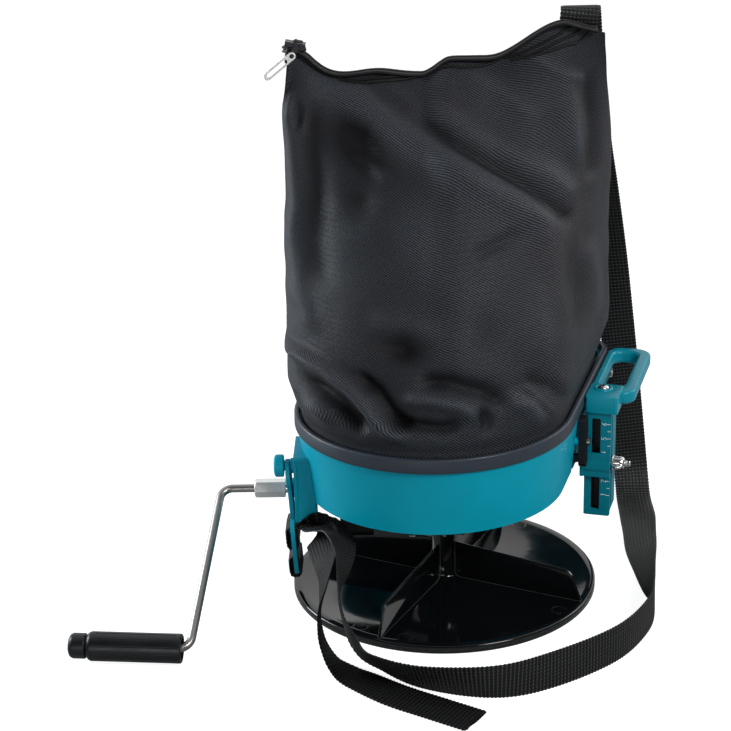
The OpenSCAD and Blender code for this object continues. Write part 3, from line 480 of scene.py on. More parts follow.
tailSides = [
    (0, -1, 0), (0.1, -1, 0), (0.3, -0.9, 0.1), (0.6, -0.6, 0.4), (0.4, -0.6, 0.6), (0.2, -0.7, 0.6),
    (0, -0.8, 0.5), (-0.1, -0.9, 0.4), (-0.2, -0.9, 0.3), (-0.4, -0.9, 0.15), (-0.5, -0.85, 0.05),
    *[(-0.5, -0.85, 0)] * 3]

for name, route, sides, node, far, cloth in (
        ("carrying_strap", mainRoute, mainSides, "strap_main", "object", webbing),
        ("strap_free_end", tailRoute, tailSides, "strap_tail", "bare", webbingShadedCopy)):
    points = spline(inMetres(route), 8)
    widths = spline([Vector(s) for s in sides], 8)
    strap, line, length = webbingStrip(name, points, widths, cloth, "hopper", (node,),
        fray=0.8 if far == "bare" else 0)
    print(name, round(length, 3), "m")

# Floor, world and lights
stageValues = {"floorGlow": 0.9, "floorTone": 0.42, "bounce": 0.4, "ambient": 0.24, "key": 32, "fill": 24,
    "front": 6, "rim": 6, "mirrorFront": 0.04, "mirrorBack": 0.95}
floorShape = bmesh.new()
bmesh.ops.create_grid(floorShape, x_segments=2, y_segments=2, size=6)
bmesh.ops.translate(floorShape, vec=(0, 2, -0.0001), verts=floorShape.verts)
floorMesh = bpy.data.meshes.new("floor")
floorShape.to_mesh(floorMesh)
floorShape.free()
floor = linkNew("floor", floorMesh)
# Paper that is white to the camera and keeps its shadow, and bounces less light back
floorMaterial = bpy.data.materials.new("floorPaper")
floorMaterial.use_nodes = True
tree = floorMaterial.node_tree
tree.nodes.clear()
out, matte, bounce, glow, total, pick, path = addNodes(tree, "OutputMaterial", "BsdfDiffuse", "BsdfDiffuse",
    "Emission", "AddShader", "MixShader", "LightPath")
feed(tree, matte, {"Color": (*[stageValues["floorTone"]] * 3, 1)})
feed(tree, bounce, {"Color": (*[stageValues["bounce"]] * 3, 1)})
feed(tree, glow, {"Strength": stageValues["floorGlow"]})
feed(tree, total, {0: matte.outputs[0], 1: glow.outputs[0]})
feed(tree, pick, {0: path.outputs["Is Camera Ray"], 1: bounce.outputs[0], 2: total.outputs[0]})
feed(tree, out, {"Surface": pick.outputs[0]})
floorMesh.materials.append(floorMaterial)

world = bpy.data.worlds.new("studio")
world.use_nodes = True
scene.world = world
tree = world.node_tree
tree.nodes.clear()
out, seen, soft, mirrored, mixed, inner, path, way, parts = addNodes(tree, "OutputWorld", "Background",
    "Background", "Background", "MixShader", "MixShader", "LightPath", "TexCoord", "SeparateXYZ")
feed(tree, parts, {0: way.outputs["Generated"]})
# Mirrored, the room is pale behind the spreader and dark on the camera's side
room = remap(tree, parts.outputs["Y"], -0.35, 0.3, stageValues["mirrorFront"], stageValues["mirrorBack"])
clear = combine(tree, "MAXIMUM", path.outputs["Is Camera Ray"], path.outputs["Is Transmission Ray"])
for background, strength in ((seen, 1), (soft, stageValues["ambient"]), (mirrored, room)):
    feed(tree, background, {"Color": (1, 1, 1, 1), "Strength": strength})
feed(tree, inner, {0: path.outputs["Is Glossy Ray"], 1: soft.outputs[0], 2: mirrored.outputs[0]})
feed(tree, mixed, {0: clear, 1: inner.outputs[0], 2: seen.outputs[0]})
feed(tree, out, {"Surface": mixed.outputs[0]})


def areaLight(name, place, target, size, power, color=(1, 1, 1)):
    data = bpy.data.lights.new(name, "AREA")
    data.shape = "RECTANGLE"
    data.size, data.size_y = size
    data.energy = power
    data.color = color
    lamp = linkNew(name, data)
    aim = (Vector(target) - Vector(place)).to_track_quat("-Z", "Y")
    lamp.matrix_world = Matrix.Translation(place) @ aim.to_matrix().to_4x4()


areaLight("key", (1.15, -1.3, 1.55), (0, 0, 0.2), (0.7, 0.7), stageValues["key"])
areaLight("leftStrip", (-1.4, 0.4, 0.55), (0, 0, 0.2), (0.5, 1.1), stageValues["fill"], (0.88, 0.95, 1))
areaLight("front", (-0.5, -2, 0.35), (0, 0, 0.15), (0.9, 0.5), stageValues["front"])
areaLight("rim", (1.4, 0.7, 0.8), (0, 0, 0.2), (0.5, 1), stageValues["rim"])
print("stage made")

# Spinner: spun disc and hub, with moulded fins and mould rings
spinnerValues = {"fins": 4, "finAngle": -26, "finThick": 2.2, "ringAt": 108}
discProfile = [
    (0, 8), (4.05, 8), (4.05, 50.6), (4.6, 51), (9.2, 51), (9.8, 50.7), (10, 50), (10, 9.5), (10.4, 8.4),
    (11.2, 7.4), (12.4, 6.6), (13.6, 6.2), (15.5, 6), (60, 6), (112.6, 6), (113.2, 6.25), (118.4, 6.25),
    (119.4, 6), (119.9, 5.5), (120, 4.9), (120, 3.6), (119.4, 3.3), (119.4, 2.6), (120, 2.3), (120, 0.5),
    (119.7, 0.1), (119.3, 0), (117.6, 0), (117, 0.5), (117, 3), (17, 3), (15, 0.3), (14.6, 0), (0, 0)]
finOutline = [(9, 5.6), (9, 36), (104, 30.3), (106.5, 29.4), (109, 27), (117, 6.6), (117, 5.6)]
ringProfile = [(5, 5.9), (5.1, 6), (5.35, 6.1), (5.75, 6.1), (6, 6), (6.1, 5.9)]
shape = bmesh.new()
lathe(shape, discProfile, 192)
for k in range(spinnerValues["fins"]):
    turn = turned(spinnerValues["finAngle"] + 90 * k, "Z")
    stand = turn @ Matrix.Translation((0, spinnerValues["finThick"] / 2 * unit, 0)) @ turned(90, "X")
    absorb(shape, prism(finOutline, spinnerValues["finThick"], stand, 0.55, 3))
    for lean in (-11, 9):
        ring = bmesh.new()
        lathe(ring, ringProfile, 40)
        placeShape(ring, turn @ turned(lean, "Z") @ Matrix.Translation((spinnerValues["ringAt"] * unit, 0, 0)))
        absorb(shape, ring)
finishPiece("spinner_disc", shape, "spinner", glossBlack, ("spinner",), angle=40)
dressNode("hub_pin", "spinner", steel, 0.3)
dressNode("spinner_shaft", "spinner", steel, 0.3)
dressNode("pinion", "spinner", gearPlastic, 0.15)
print("spinner made")

# Crank: shaft, gear, coupler, bent rod and grip
dressNode("crown_gear", "crank", gearPlastic, 0.15)
dressNode("drive_shaft", "crank", steel, 0.3)
dressNode("hex_coupler", "crank", brightZinc, 0.25, 3, 20)
crankValues = {"axis": 83, "start": 138, "corner": 174, "reach": 145, "lean": 6.5, "tilt": 3, "bend": 10,
    "rod": 6.35, "gripRadius": 11, "gripRoom": 0.3, "outer": 86.5}
gripHeight = crankValues["gripRadius"] + crankValues["gripRoom"]
drop = math.asin((crankValues["axis"] - gripHeight) / crankValues["reach"])
crankPlace = (Matrix.Translation((0, 0, crankValues["axis"] * unit)) @ Matrix.Rotation(drop, 4, "X")
    @ turned(180, "Z"))


def rodLine():
    # Straight, bend, arm, bend, straight, in the crank's own plane
    lean, tilt = math.radians(crankValues["lean"]), math.radians(crankValues["tilt"])
    r = crankValues["bend"]
    turnIn, turnOut = math.pi / 2 - lean, math.pi / 2 - lean + tilt
    cutIn, cutOut = r * math.tan(turnIn / 2), r * math.tan(turnOut / 2)
    line = [Vector((crankValues["start"], 0)), Vector((crankValues["corner"] - cutIn, 0))]
    heading, at = 0, line[-1]
    arm = crankValues["reach"] / math.cos(lean) - cutIn - cutOut
    for turn, run in ((turnIn, arm), (-turnOut, crankValues["outer"] - cutOut)):
        side = 1 if turn > 0 else -1
        centre = at + Vector((-math.sin(heading), math.cos(heading))) * side * r
        for k in range(1, 13):
            a = heading + turn * k / 12
            line.append(centre + Vector((math.sin(a), -math.cos(a))) * side * r)
        heading += turn
        at = line[-1] + Vector((math.cos(heading), math.sin(heading))) * run
        line.append(at)
    return [crankPlace @ Vector((p.x * unit, p.y * unit, 0)) for p in line]


def tube(shape, line, radius, sides):
    rings = []
    normal = None
    for i, p in enumerate(line):
        forward = wayAlong(line, i)
        if normal is None:
            normal = forward.orthogonal()
        normal = (normal - forward * normal.dot(forward)).normalized()
        other = forward.cross(normal)
        rings.append([p + (normal * math.cos(a) + other * math.sin(a)) * radius
            for a in (2 * math.pi * k / sides for k in range(sides))])
    skinRings(shape, rings)


shape = bmesh.new()
tube(shape, rodLine(), crankValues["rod"] / 2 * unit, 32)
finishPiece("crank_rod_shown", shape, "crank", rodSteel, ("crank_rod",), 0.25, 2, 40)
dressNode("crank_grip", "grip", gripPlastic, 0.25)
dressNode("grip_cap", "crank", gripPlastic, 0.3)
dressNode("crank_bush", "hopper", tealPlastic, 0.5)
print("crank made")

# Tub and what is screwed under it
dressNode("hopper_tub", "hopper", tealPlastic, 0.7, 3)
for node, bevel in (("gear_housing", 0.8), ("gear_cover", 0.8), ("shaft_bearing", 0.9)):
    dressNode(node, "hopper", blackPlastic, bevel, 3)
for node in ("housing_screws", "cover_screws", "bearing_screws", "flange_screws", "bell_pin"):
    dressNode(node, "hopper", steel, 0.25)
dressNode("lever_stud", "hopper", rodSteel, 0.25)
dressNode("gate_plate", "gate", steel, 0.3)
dressNode("bell_crank", "bell", blackPlastic, 0.4)
dressNode("gate_lever", "lever", blackPlastic, 0.5)

# Ribs raised on the front of the crank boss
bossRibs = [
    [(-115.3, 67), (-113.4, 67), (-112.6, 90), (-113.2, 112), (-115.3, 119)],
    [(-101.2, 67), (-98.6, 67), (-98.6, 118), (-100.2, 112), (-101.4, 90)],
    [(-113.6, 66.6), (-100.6, 66.6), (-100.6, 68.6), (-113.6, 68.6)],
    [(-115.2, 117.4), (-98.8, 117.4), (-98.8, 119.6), (-115.2, 119.6)]]
shape = bmesh.new()
for outline in bossRibs:
    absorb(shape, prism(outline, 1.4, Matrix.Translation((0, -0.0275, 0)) @ turned(90, "X"), 0.45))
finishPiece("boss_ribs", shape, "hopper", tealPlastic, (), angle=40, merge=0)
print("tub made")


# Rim band: a rounded strip swept round the tub's plan
bandValues = {"radius": 105, "back": 175, "corner": 22}
bandProfile = [(0.3, 136), (3.9, 136), (4.35, 136.3), (4.5, 136.9), (4.5, 140), (4.35, 145.6), (4.1, 146.5),
    (3.5, 147), (2.4, 147.1), (1.2, 147), (0.6, 146.7), (0.3, 146.1)]


def arc(cx, cy, r, start, sweep, steps):
    # Points on an arc, each with its way outward
    ways = [math.radians(start + sweep * k / steps) for k in range(steps + 1)]
    ways = [Vector((math.cos(a), math.sin(a))) for a in ways]
    return [(Vector((cx, cy)) + way * r, way) for way in ways]


def straight(a, b, way, steps):
    return [(Vector(a).lerp(Vector(b), k / steps), Vector(way)) for k in range(1, steps)]


def planLine():
    # A round front, straight sides and a square back, in the tub's own frame
    r, back, c = bandValues["radius"], bandValues["back"], bandValues["corner"]
    flat = back - c
    return (arc(0, 0, r, 180, 180, 72) + straight((r, 0), (r, flat), (1, 0), 12)
        + arc(r - c, flat, c, 0, 90, 14) + straight((r - c, back), (c - r, back), (0, 1), 8)
        + arc(c - r, flat, c, 90, 90, 14) + straight((-r, flat), (-r, 0), (-1, 0), 12))


shape = bmesh.new()
rings = []
for p, way in planLine():
    rings.append([tubFrame @ (Vector((p.x + way.x * x, p.y + way.y * x, z)) * unit) for x, z in bandProfile])
skinRings(shape, rings, loop=True)
finishPiece("rim_band_shown", shape, "hopper", greyBand, ("rim_band",), angle=50)


# Gauge column, collar, nut and handle
def roundRect(x0, x1, y0, y1, r, per=8):
    # Corner arcs joined by straight sides, always with the same number of points
    corners = ((x1 - r, y1 - r, 0), (x0 + r, y1 - r, 90), (x0 + r, y0 + r, 180), (x1 - r, y0 + r, 270))
    return [p for cx, cy, start in corners for p, way in arc(cx, cy, r, start, 90, per)]


def roundedRing(outer, inner, low, high, r):
    # A flat loop between two outlines, its section a rounded rectangle
    rings = []
    for a, b in zip(outer, inner):
        wide = (a - b).length
        way = (a - b) / wide
        section = [(b + way * q.x, q.y) for q in roundRect(0, wide, low, high, r, 5)]
        rings.append([tubFrame @ (Vector((q.x, q.y, z)) * unit) for q, z in section])
    shape = bmesh.new()
    skinRings(shape, rings, loop=True)
    return shape


def beside(n, s, z, turn=Matrix()):
    # A place in the tub's own frame, as a matrix
    return tubFrame @ Matrix.Translation(Vector((n, s, z)) * unit) @ turn


dressNode("gauge_column", "hopper", tealDeep, 0.45)
dressNode("rate_stop", "stop", tealDeep, 0.6, 3)
shape = prism([(112.5, 60), (128.5, 60), (128.5, 62), (112.5, 62)], 84, beside(0, 0, 43))
finishPiece("liner_shown", shape, "hopper", blackPlastic, ("column_liner",), 0.2)

# Marks on the column, each a thin raised stroke, with the collar's place left free
markValues = {"face": 49.48, "firstZ": 60.4, "gap": 12.3, "high": 3.6, "digitN": 125.6, "tickN": 127.6,
    "tick": 3.2, "line": 0.42, "proud": 0.1, "collarZ": 87, "collarRoom": 11}
strokes = {
    1: [(0.2, 0.75), (0.5, 1), (0.5, 0)],
    2: [(0.05, 0.8), (0.3, 1), (0.6, 0.85), (0.55, 0.55), (0, 0), (0.65, 0)],
    4: [(0.45, 0), (0.45, 1), (0, 0.35), (0.65, 0.35)],
    5: [(0.6, 1), (0.1, 1), (0.05, 0.6), (0.4, 0.62), (0.62, 0.3), (0.4, 0), (0, 0.08)],
    6: [(0.55, 1), (0.15, 0.6), (0.05, 0.25), (0.3, 0), (0.6, 0.25), (0.35, 0.52), (0.08, 0.35)]}
shape = bmesh.new()


def mark(points):
    line = [beside(n, markValues["face"], z).translation for n, z in points]
    out = tubFrame.to_3x3() @ Vector((0, -1, 0))
    raised = out * markValues["proud"] * unit
    rings = []
    for k, q in enumerate(line):
        side = wayAlong(line, k).cross(out).normalized() * markValues["line"] / 2 * unit
        rings.append([q + side, q + side * 0.8 + raised, q - side * 0.8 + raised, q - side])
    skinRings(shape, rings)


for digit, line in strokes.items():
    # Turned a quarter, so that the digits' tops point left
    z0 = markValues["firstZ"] + markValues["gap"] * (digit - 1)
    mark([(markValues["digitN"] + (0.5 - y) * markValues["high"], z0 + (x - 0.33) * markValues["high"])
        for x, y in line])
for k in range(11):
    z = markValues["firstZ"] + markValues["gap"] * k / 2
    if abs(z - markValues["collarZ"]) > markValues["collarRoom"]:
        mark([(markValues["tickN"] + (0.8 if k % 2 else 0), z), (markValues["tickN"] + markValues["tick"], z)])
finishPiece("column_marks", shape, "hopper", whiteInk, (), angle=60, merge=0)

# Handle: a rounded loop on a head block with a raised dish, ribs and a flange along the tub
handleValues = {"low": 133, "thick": 11, "out": 146, "back": 168, "bar": 10, "round": 2.88, "screwN": 121,
    "screwS": 68.6}
low, out, back, bar = (handleValues[name] for name in ("low", "out", "back", "bar"))
upright = turned(90, "X")
shape = roundedRing(roundRect(110, out, 65, back, 12), roundRect(116, out - bar, 78, back - bar, 8), low,
    low + handleValues["thick"], handleValues["round"])
block = prism(roundRect(110, 136, 48, 78, 2, 3), 14, beside(0, 0, 131), 1.1, 3)
flange = prism([(108, 118), (111, 118), (114, 134), (114, 137), (107.2, 137)], 88, beside(0, 164, 0, upright),
    0.6)
absorb(shape, block, flange)
for s0 in (80, 86.5):
    absorb(shape, prism([(108, 118), (112, 118), (131, 134), (131, 137), (107.2, 137)], 2.6,
        beside(0, s0, 0, upright), 0.5))
screwPlace = beside(handleValues["screwN"], handleValues["screwS"], 0)
dish = bmesh.new()
lathe(dish, [(4.9, 144.2), (5, 145.4), (5.6, 146), (6.6, 146.1), (7.4, 145.6), (7.9, 144.6),
    (8.1, 144.2)], 48)
placeShape(dish, screwPlace)
absorb(shape, dish)
finishPiece("handle_shown", shape, "hopper", tealHandle, ("side_handle",), angle=40, merge=0)

# Pan head screw; its crossed recess is not cut but shown by a thin black cross laid on the head, painted shade
shape = bmesh.new()
lathe(shape, [(0, 127), (2, 127), (2, 143.6), (4.5, 143.8), (4.75, 144.4), (4.7, 145.4), (4.2, 146.4),
    (3, 147.1), (1.5, 147.4), (0, 147.45)], 48)
placeShape(shape, screwPlace)
finishPiece("dish_screw", shape, "hopper", platedSteel, ("column_screw",), angle=40)
# Painted shade: a thin black cross stands in for the shaded recess
shape = bmesh.new()
for turn in (20, 110):
    absorb(shape, prism([(-2.3, -0.45), (2.3, -0.45), (2.3, 0.45), (-2.3, 0.45)], 0.25,
        beside(handleValues["screwN"], handleValues["screwS"], 147.28, turned(turn, "Z"))))
finishPiece("recess_shade", shape, "hopper", blackPlastic, (), angle=40)

# Clamp bolt: a threaded shank, and a wing nut with short rounded wings
boltValues = {"s": 56, "z": 87, "nutN": 131.3, "thread": 107.4, "pitch": 0.8, "turns": 46, "wing": 2.3}
lying = turned(90, "Y")
thread = [(0, 104.6), (4.3, 104.6), (4.5, 104.8), (4.5, 107), (2.5, 107)]
for k in range(boltValues["turns"]):
    z = boltValues["thread"] + boltValues["pitch"] * k
    thread += [(2.5, z), (2.5, z + 0.1), (2.08, z + 0.4), (2.08, z + 0.5)]
thread += [(2.3, 145.3), (1.9, 146), (0, 146)]
shape = bmesh.new()
lathe(shape, thread, 36)
placeShape(shape, beside(0, boltValues["s"], boltValues["z"], lying))
finishPiece("bolt_shown", shape, "stop", platedSteel, ("clamp_bolt",), angle=30)
shape = bmesh.new()
lathe(shape, [(2.6, 0), (5.9, 0), (6.4, 0.3), (6.5, 1.1), (5.9, 1.5), (5.5, 3.5), (5.2, 6.5), (4.8, 9),
    (4.2, 9.8), (2.6, 10), (2.6, 0)], 48)
wingOutline = [(-1.5, 2.5), (-0.2, 8.6), (0.6, 10.2), (2.2, 11.3), (4.4, 11.3), (6.2, 10.2), (7.2, 8.2),
    (7.6, 5.5), (7.4, 2.5)]
wingStand = Matrix(((0, 0, 1, -boltValues["wing"] / 2 * unit), (0, 1, 0, 0), (1, 0, 0, 1.6 * unit),
    (0, 0, 0, 1)))
for side in (0, 180):
    wing = prism(wingOutline, boltValues["wing"], Matrix(), 0.7, 3)
    placeShape(wing, turned(side, "Z") @ wingStand)
    absorb(shape, wing)
placeShape(shape, beside(boltValues["nutN"], boltValues["s"], boltValues["z"], lying))
finishPiece("nut_shown", shape, "nut", platedSteel, ("wing_nut",), angle=35, merge=0)
print("gauge made")

# Strap hanger
dressNode("hanger_pin", "hopper", tealPlastic, 0.5, 3)
dressNode("strap_hanger", "hanger", tealPlastic, 0.9, 4)
hangerValues = {"plate": -121.8, "pinZ": 109, "lean": -3.5, "y": -16}
hangerPlace = (Matrix.Translation((0, 0, hangerValues["pinZ"] * unit)) @ turned(hangerValues["lean"], "Y")
    @ Matrix.Translation((hangerValues["plate"] * unit, 0, -hangerValues["pinZ"] * unit)))


def wrapLoop(name, low, high):
    # One turn of webbing round a bar of the hanger, doubled on its outer side
    corners = [(-4, high - 5), (-2.6, high - 1.6), (1, high - 1), (3.9, high - 2.4), (4.2, high - 6),
        (4.2, low + 6), (3.9, low + 2.4), (1, low + 1), (-2.6, low + 1.6), (-4, low + 5)]
    line = [hangerPlace @ (Vector((x, hangerValues["y"], z)) * unit) for x, z in corners]
    line = spline(line + [line[0]], 8)
    webbingStrip(name, line, [Vector((0, 1, 0))] * len(line), webbing, "hanger", (), 0.5, 0.8, loop=True)


wrapLoop("wrap_upper", 50.2, 70.3)
wrapLoop("wrap_lower", 26.5, 45.3)
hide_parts("strap_wrap")
print("hanger made")

# Bag: the CAD's loft with finer rows, and the folds of the photo pressed into it
bagValues = {"seamY": 60, "lip": 147, "foot": 141.5, "seam": 396.5, "clothHigh": 285, "radius": 104.7,
    "back": 174.7, "ear": 55, "around": 340, "up": 170}
turnBack = bagValues["ear"] + 180 + tubTurn


def bump(x, at, wide):
    return math.exp(-((x - at) / wide) ** 2)


def planPoint(f):
    # f runs 0 to 1 along the front and 1 to 2 along the back
    angle = -tubTurn - 180 + turnBack * f if f <= 1 else bagValues["ear"] + (360 - turnBack) * (f - 1)
    c, d = math.cos(math.radians(angle)), math.sin(math.radians(angle))
    side = 1e6 if abs(c) < 0.001 else bagValues["radius"] / abs(c)
    rear = bagValues["back"] / d if d > 0.001 else 1e6
    reach = bagValues["radius"] if d <= 0 else 1 / ((1 / side) ** 9 + (1 / rear) ** 9) ** (1 / 9)
    p = tubFrame @ (Vector((reach * c, reach * d, 0)) * unit)
    return Vector((p.x / unit, p.y / unit))


planXs = [planPoint(k / 100).x for k in range(200)]
planMin, planMax = min(planXs), max(planXs)


def leftEdge(t):
    return -119 + 3.2 * bump(t, 0.72, 0.15) - 1.5 * bump(t, 0.12, 0.1) + 8 * t ** 14


def rightEdge(t):
    return 139 + 3 * math.sin(math.pi * t) - 13 * t ** 1.6


def seamHeight(k):
    return (bagValues["seam"] + 22 * bump(k, -1, 0.17) + 3 * bump(k, -0.45, 0.15)
        + 11.5 * ease((k + 0.17) / 0.2) + 26 * ease((k - 0.25) / 0.5) - 32 * max(0, k - 0.75))


def bagPoint(f, t):
    p = planPoint(f)
    grow = min(1, t * 9)
    plain = (p.x - planMin) / (planMax - planMin)
    alongSeam = f if f <= 1 else 2 - f
    share = plain + (alongSeam - plain) * t ** 1.5
    left = planMin + (leftEdge(t) - planMin) * grow
    right = planMax + (rightEdge(t) - planMax) * grow
    y = bagValues["seamY"] + (p.y - bagValues["seamY"]) * ((1 - t ** 1.75) * 0.985 + 0.015)
    z = bagValues["lip"] + t * (seamHeight(2 * share - 1) - bagValues["lip"])
    return Vector((left + (right - left) * share, y, z))


# Folds on the front as lines in X and Z, each with its half width and height; a lean makes one side steeper
folds = [
    ([(-106, 408), (-70, 388), (-33, 366), (7, 345), (48, 321), (92, 290)], 12, 9.5, 0.9),
    ([(-86, 374), (-58, 356), (-28, 334)], 17, -13, 0),
    ([(-70, 352), (-50, 344), (-34, 330)], 5, 3, 0.5),
    ([(-78, 334), (-60, 318), (-56, 296)], 12, -4, 0),
    ([(-20, 372), (28, 344), (66, 321), (103, 289)], 5, -5, 0),
    ([(-8, 380), (44, 352), (74, 334), (108, 304)], 7, 3.4, 0),
    ([(-112, 388), (-110, 361), (-108, 325), (-108, 284), (-105, 252), (-94, 222)], 6, 3, 0.4),
    ([(-99, 389), (-96, 354), (-92, 321), (-94, 287), (-90, 250)], 10, -4.4, 0),
    ([(-122, 206), (-103, 208), (-85, 204), (-69, 196), (-58, 187), (-51, 177), (-41, 167), (-24, 160)],
        5.5, 8.5, 0.9),
    ([(-112, 190), (-92, 187), (-76, 180), (-65, 170), (-58, 158)], 6.5, -9, 0),
    ([(-66, 206), (-48, 194), (-38, 180), (-24, 168)], 4.5, -6, 0),
    ([(-108, 176), (-92, 170), (-80, 157)], 6, 4.6, 0.3),
    ([(-57, 222), (-31, 224), (-6, 219)], 11, -6.4, 0),
    ([(-60, 238), (-30, 240), (2, 233)], 9, 3, 0),
    ([(-21, 203), (4, 202), (28, 194), (50, 178)], 6, -5.8, 0),
    ([(-34, 190), (-12, 191), (11, 186), (27, 174)], 5.5, 6, 0.4),
    ([(-44, 174), (-25, 172), (-3, 169), (14, 172)], 5, -5.6, 0),
    ([(25, 184), (31, 172), (29, 158)], 4.5, -5.6, 0),
    ([(40, 190), (63, 176), (74, 154)], 6, 5, 0.4),
    ([(60, 192), (75, 172), (90, 152)], 1.8, 1.6, 0),
    ([(56, 200), (80, 184), (98, 160)], 5, -3, 0),
    ([(95, 403), (100, 371), (105, 325)], 7, 3.4, 0),
    ([(112, 400), (118, 350), (118, 310)], 6, -3.2, 0),
    ([(18, 283), (43, 290), (63, 295)], 5, -2.4, 0),
    ([(-110, 390), (-113, 366)], 2.4, 2.6, 0),
    ([(-99, 378), (-103, 356)], 2.4, 2.6, 0),
    ([(-106, 386), (-108, 358)], 3, -3.2, 0),
    ([(-112, 310), (-114, 268), (-110, 235)], 6, 2.6, 0),
    ([(-66, 398), (-50, 383), (-34, 366)], 4, 2.4, 0.4),
    ([(-40, 398), (-22, 382), (-4, 362)], 5, 2, 0.4),
    ([(16, 406), (46, 388), (80, 365)], 6, 2.8, 0.3),
    ([(60, 418), (86, 402), (114, 390)], 4, 3, 0.3),
    ([(-8, 332), (-16, 290), (-10, 250)], 16, 3.6, 0),
    ([(20, 262), (34, 232), (30, 206)], 12, -2.6, 0),
    ([(58, 262), (72, 225), (74, 196)], 13, 3.6, 0),
    ([(96, 282), (106, 240), (108, 200)], 9, -3.4, 0),
    ([(112, 270), (122, 232), (124, 196)], 6, 2.6, 0)]


def foldLift(x, z):
    total = 0
    for line, wide, high, lean in folds:
        best, along, side = 1e9, 0, 0
        last = len(line) - 1
        length = sum(math.dist(line[k], line[k + 1]) for k in range(last))
        for k in range(last):
            (ax, az), (bx, bz) = line[k], line[k + 1]
            dx, dz = bx - ax, bz - az
            s = max(0, min(1, ((x - ax) * dx + (z - az) * dz) / (dx * dx + dz * dz)))
            ox, oz = x - ax - dx * s, z - az - dz * s
            d = math.hypot(ox, oz)
            if d < best:
                best, along = d, (k + s) / last
                side = math.copysign(d, ox * dz - oz * dx)
        if best < 3.2 * wide:
            taper = ease(min(along, 1 - along) * length / (2.6 * wide) + 0.08)
            u = side / wide
            total += high * taper * math.exp(-u * u) * (1 + lean * u)
    return total


def clothRipple(p, scale, seed):
    return noise.noise(Vector((p.x / scale + seed, p.y / scale - seed, p.z / scale * 0.8)))


around, up = bagValues["around"], bagValues["up"]
heights = [(j / up) ** 0.95 for j in range(up + 1)]
rows = [[bagPoint(2 * i / around, t) for i in range(around)] for t in heights]
moved, pressed = [], []
for j, (row, t) in enumerate(zip(rows, heights)):
    calm = ease(t / 0.1) * ease((1 - t) / 0.05)
    out, depths = [], []
    for i, p in enumerate(row):
        below, above = rows[max(0, j - 1)][i], rows[min(up, j + 1)][i]
        normal = (row[(i + 1) % around] - row[i - 1]).cross(above - below)
        normal = normal.normalized() if normal.length > 1e-9 else Vector((0, 0, 1))
        slant = Vector((p.x * 0.86 - p.z * 0.5, p.y, (p.x * 0.5 + p.z * 0.86) * 4.5))
        lift = 2.2 * clothRipple(p, 62, 3.1) + 0.6 * clothRipple(p, 24, 7.7) + 0.8 * clothRipple(slant, 70, 5.2)
        share = i / around
        if share <= 0.52 or share > 0.97:
            lift += foldLift(p.x, p.z) * ease((0.53 - share) / 0.05 if share <= 0.52 else 1)
        # The pull swings past the left ear, so the cloth stays flat and drawn in there
        besidePull = bump(p.x, -114, 15) * bump(p.z, 398, 16)
        depths.append((lift * (1 - besidePull) - 2.2 * besidePull) * calm)
        out.append(p + normal * (depths[-1] * min(1, 0.3 + 2.4 * (1 - t)) - 1.6 * bump(t, 0.012, 0.02)))
    moved.append(out)
    pressed.append(depths)
rows = [[Vector((p.x, p.y, bagValues["foot"])) for p in moved[0]]] + moved
shape = bmesh.new()
layer = shape.loops.layers.uv.new("flat")
# The fold depth is kept as press, which bagCloth turns into painted shade in the valleys and painted light on
# the ridges
depth = shape.verts.layers.float.new("press")
made = [[shape.verts.new(p * unit) for p in row] for row in rows]
for row, depths in zip(made[1:], pressed):
    for v, d in zip(row, depths):
        v[depth] = d
# The cloth's own lengths, measured along each row from the middle of the front
spans = []
for row in rows:
    run = [0]
    for i in range(around):
        run.append(run[-1] + (row[(i + 1) % around] - row[i]).length)
    spans.append([x - run[around // 4] for x in run])
for j in range(len(rows) - 1):
    for i in range(around):
        corners = ((i, j), (i + 1, j), (i + 1, j + 1), (i, j + 1))
        f = shape.faces.new([made[b][a % around] for a, b in corners])
        for l, (a, b) in zip(f.loops, corners):
            l[layer].uv = (spans[b][a], b * bagValues["clothHigh"] / up)
top = made[-1]
for i in range(around // 2):
    ring = list(dict.fromkeys([top[i], top[i + 1], top[(around - i - 1) % around], top[(around - i) % around]]))
    if len(ring) > 2:
        shape.faces.new(ring)
finishPiece("bag_shown", shape, "hopper", bagCloth, ("bag",), angle=80, merge=0)
print("bag made")

# Zip: two tapes with piped edges and a coil along the seam, turned down at the left ear
zipValues = {"pipe": 1.25, "edge": 4.9, "lift": 1.4, "coilPitch": 1.7, "placketPipe": 1.1, "placketLift": 0.5}
zipLine = [(-114.2, 60, 409), (-113.4, 60, 416), (-110.2, 60, 420.4)]
for n in range(2, 40):
    x = leftEdge(1) + (rightEdge(1) - leftEdge(1)) * n / 40
    zipLine.append((x, bagValues["seamY"], seamHeight(2 * n / 40 - 1) + zipValues["lift"]))
zipLine = spline(inMetres(zipLine), 5)
shape = bmesh.new()
down = Vector((0, 0, 0.7)) * unit
for sign in (-1, 1):
    edge = []
    for k, p in enumerate(zipLine):
        edge.append(p + Vector((0, sign * (zipValues["edge"] + 0.7 * math.sin(k * 0.11)), -1.1)) * unit)
    tube(shape, edge, zipValues["pipe"] * unit, 10)
    tape = []
    for k, p in enumerate(zipLine):
        a = p + Vector((0, sign * 0.9, 0.5)) * unit
        b = p + Vector((0, sign * 2.8, 0.25)) * unit
        c = edge[k] + Vector((0, 0, 0.9)) * unit
        tape.append([a, b, c, c - down, b - down, a - down])
    skinRings(shape, tape)
finishPiece("zip_tapes", shape, "hopper", zipTape, ("bag_zipper",), angle=50, merge=0)
coilLine = evenly(zipLine, zipLine, zipValues["coilPitch"] / 2 * unit)[0]
shape = bmesh.new()
other = Vector((0, 1, 0))
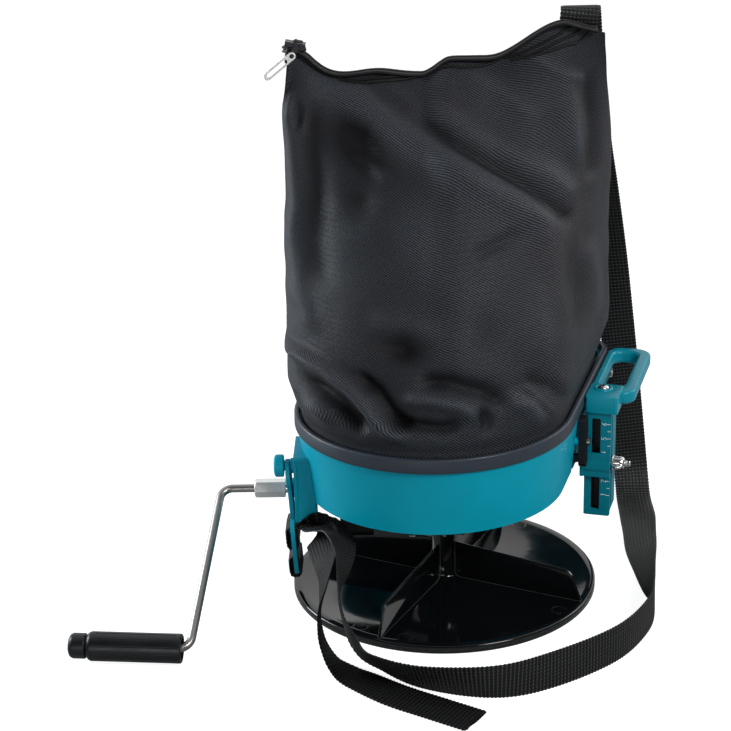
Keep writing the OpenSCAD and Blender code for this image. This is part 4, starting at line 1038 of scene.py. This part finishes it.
for k in range(1, len(coilLine) - 1):
    forward = wayAlong(coilLine, k)
    upward = forward.cross(other).normalized()
    place = Matrix((forward * 0.62 * unit, other * unit, upward * unit)).transposed().to_4x4()
    place.translation = coilLine[k] + (other * (-0.55 if k % 2 else 0.55) + upward * 0.7) * unit
    bmesh.ops.create_icosphere(shape, subdivisions=1, radius=1,
        matrix=place @ Matrix.Diagonal((1, 1.7, 0.75, 1)))
finishPiece("zip_coil", shape, "hopper", blackPlastic, (), angle=60, merge=0)
dressNode("zipper_slider", "hopper", sliderMetal, 0.5)

# The zip's folded end over the left ear, and the placket's piped edges on the front
endValues = {"x": -108.2, "y": 60.4, "z": 417.2, "wide": 8.8, "deep": 6.1, "high": 6.9, "ridge": 0.07,
    "rough": 0.12}
shape = bmesh.new()
bmesh.ops.create_icosphere(shape, subdivisions=5, radius=1)
for v in shape.verts:
    q = v.co.copy()
    ridge = (1 + endValues["ridge"] * math.cos(9 * math.atan2(q.z, q.x)) * (1 - abs(q.y))
        + endValues["rough"] * noise.noise(q * 2.6))
    v.co = Vector((endValues["x"] + endValues["wide"] * q.x * ridge, endValues["y"] + endValues["deep"] * q.y,
        endValues["z"] + endValues["high"] * q.z * ridge + 2.2 * q.x * q.z)) * unit
layer = shape.loops.layers.uv.new("flat")
for f in shape.faces:
    for l in f.loops:
        l[layer].uv = (l.vert.co.x / unit, l.vert.co.z / unit)
finishPiece("zip_end", shape, "hopper", zipTape, (), angle=80, merge=0)


def frontLine(points):
    # A line over the bag's front through (f, t) pairs
    out = []
    for q in spline([Vector(p) for p in points], 14):
        f, t = q.x, min(1, q.y)
        p = bagPoint(f, t)
        across = bagPoint(f + 0.004, t) - bagPoint(f - 0.004, t)
        rise = p - bagPoint(f, t - 0.01)
        out.append((p + across.cross(rise).normalized() * zipValues["placketLift"]) * unit)
    return out


shape = bmesh.new()
for points in (
        ((0.13, 0.998), (0.2, 0.984), (0.28, 0.984), (0.37, 0.998)),
        ((0.16, 0.99), (0.24, 0.974), (0.32, 0.98), (0.4, 0.994)),
        ((0.45, 0.998), (0.52, 0.982), (0.6, 0.982), (0.67, 0.996)),
        ((0.68, 0.99), (0.76, 0.972), (0.84, 0.972), (0.9, 0.998)),
        ((0.7, 0.974), (0.79, 0.955), (0.87, 0.962), (0.93, 0.998)),
        ((0.74, 0.957), (0.83, 0.94), (0.905, 0.955), (0.955, 0.998))):
    tube(shape, frontLine(points), zipValues["placketPipe"] * unit, 10)
finishPiece("placket_piping", shape, "hopper", zipTape, (), angle=50, merge=0)
dressNode("zipper_pull", "pull", satinSteel, 0.3)
print("zip made")

print("finished")
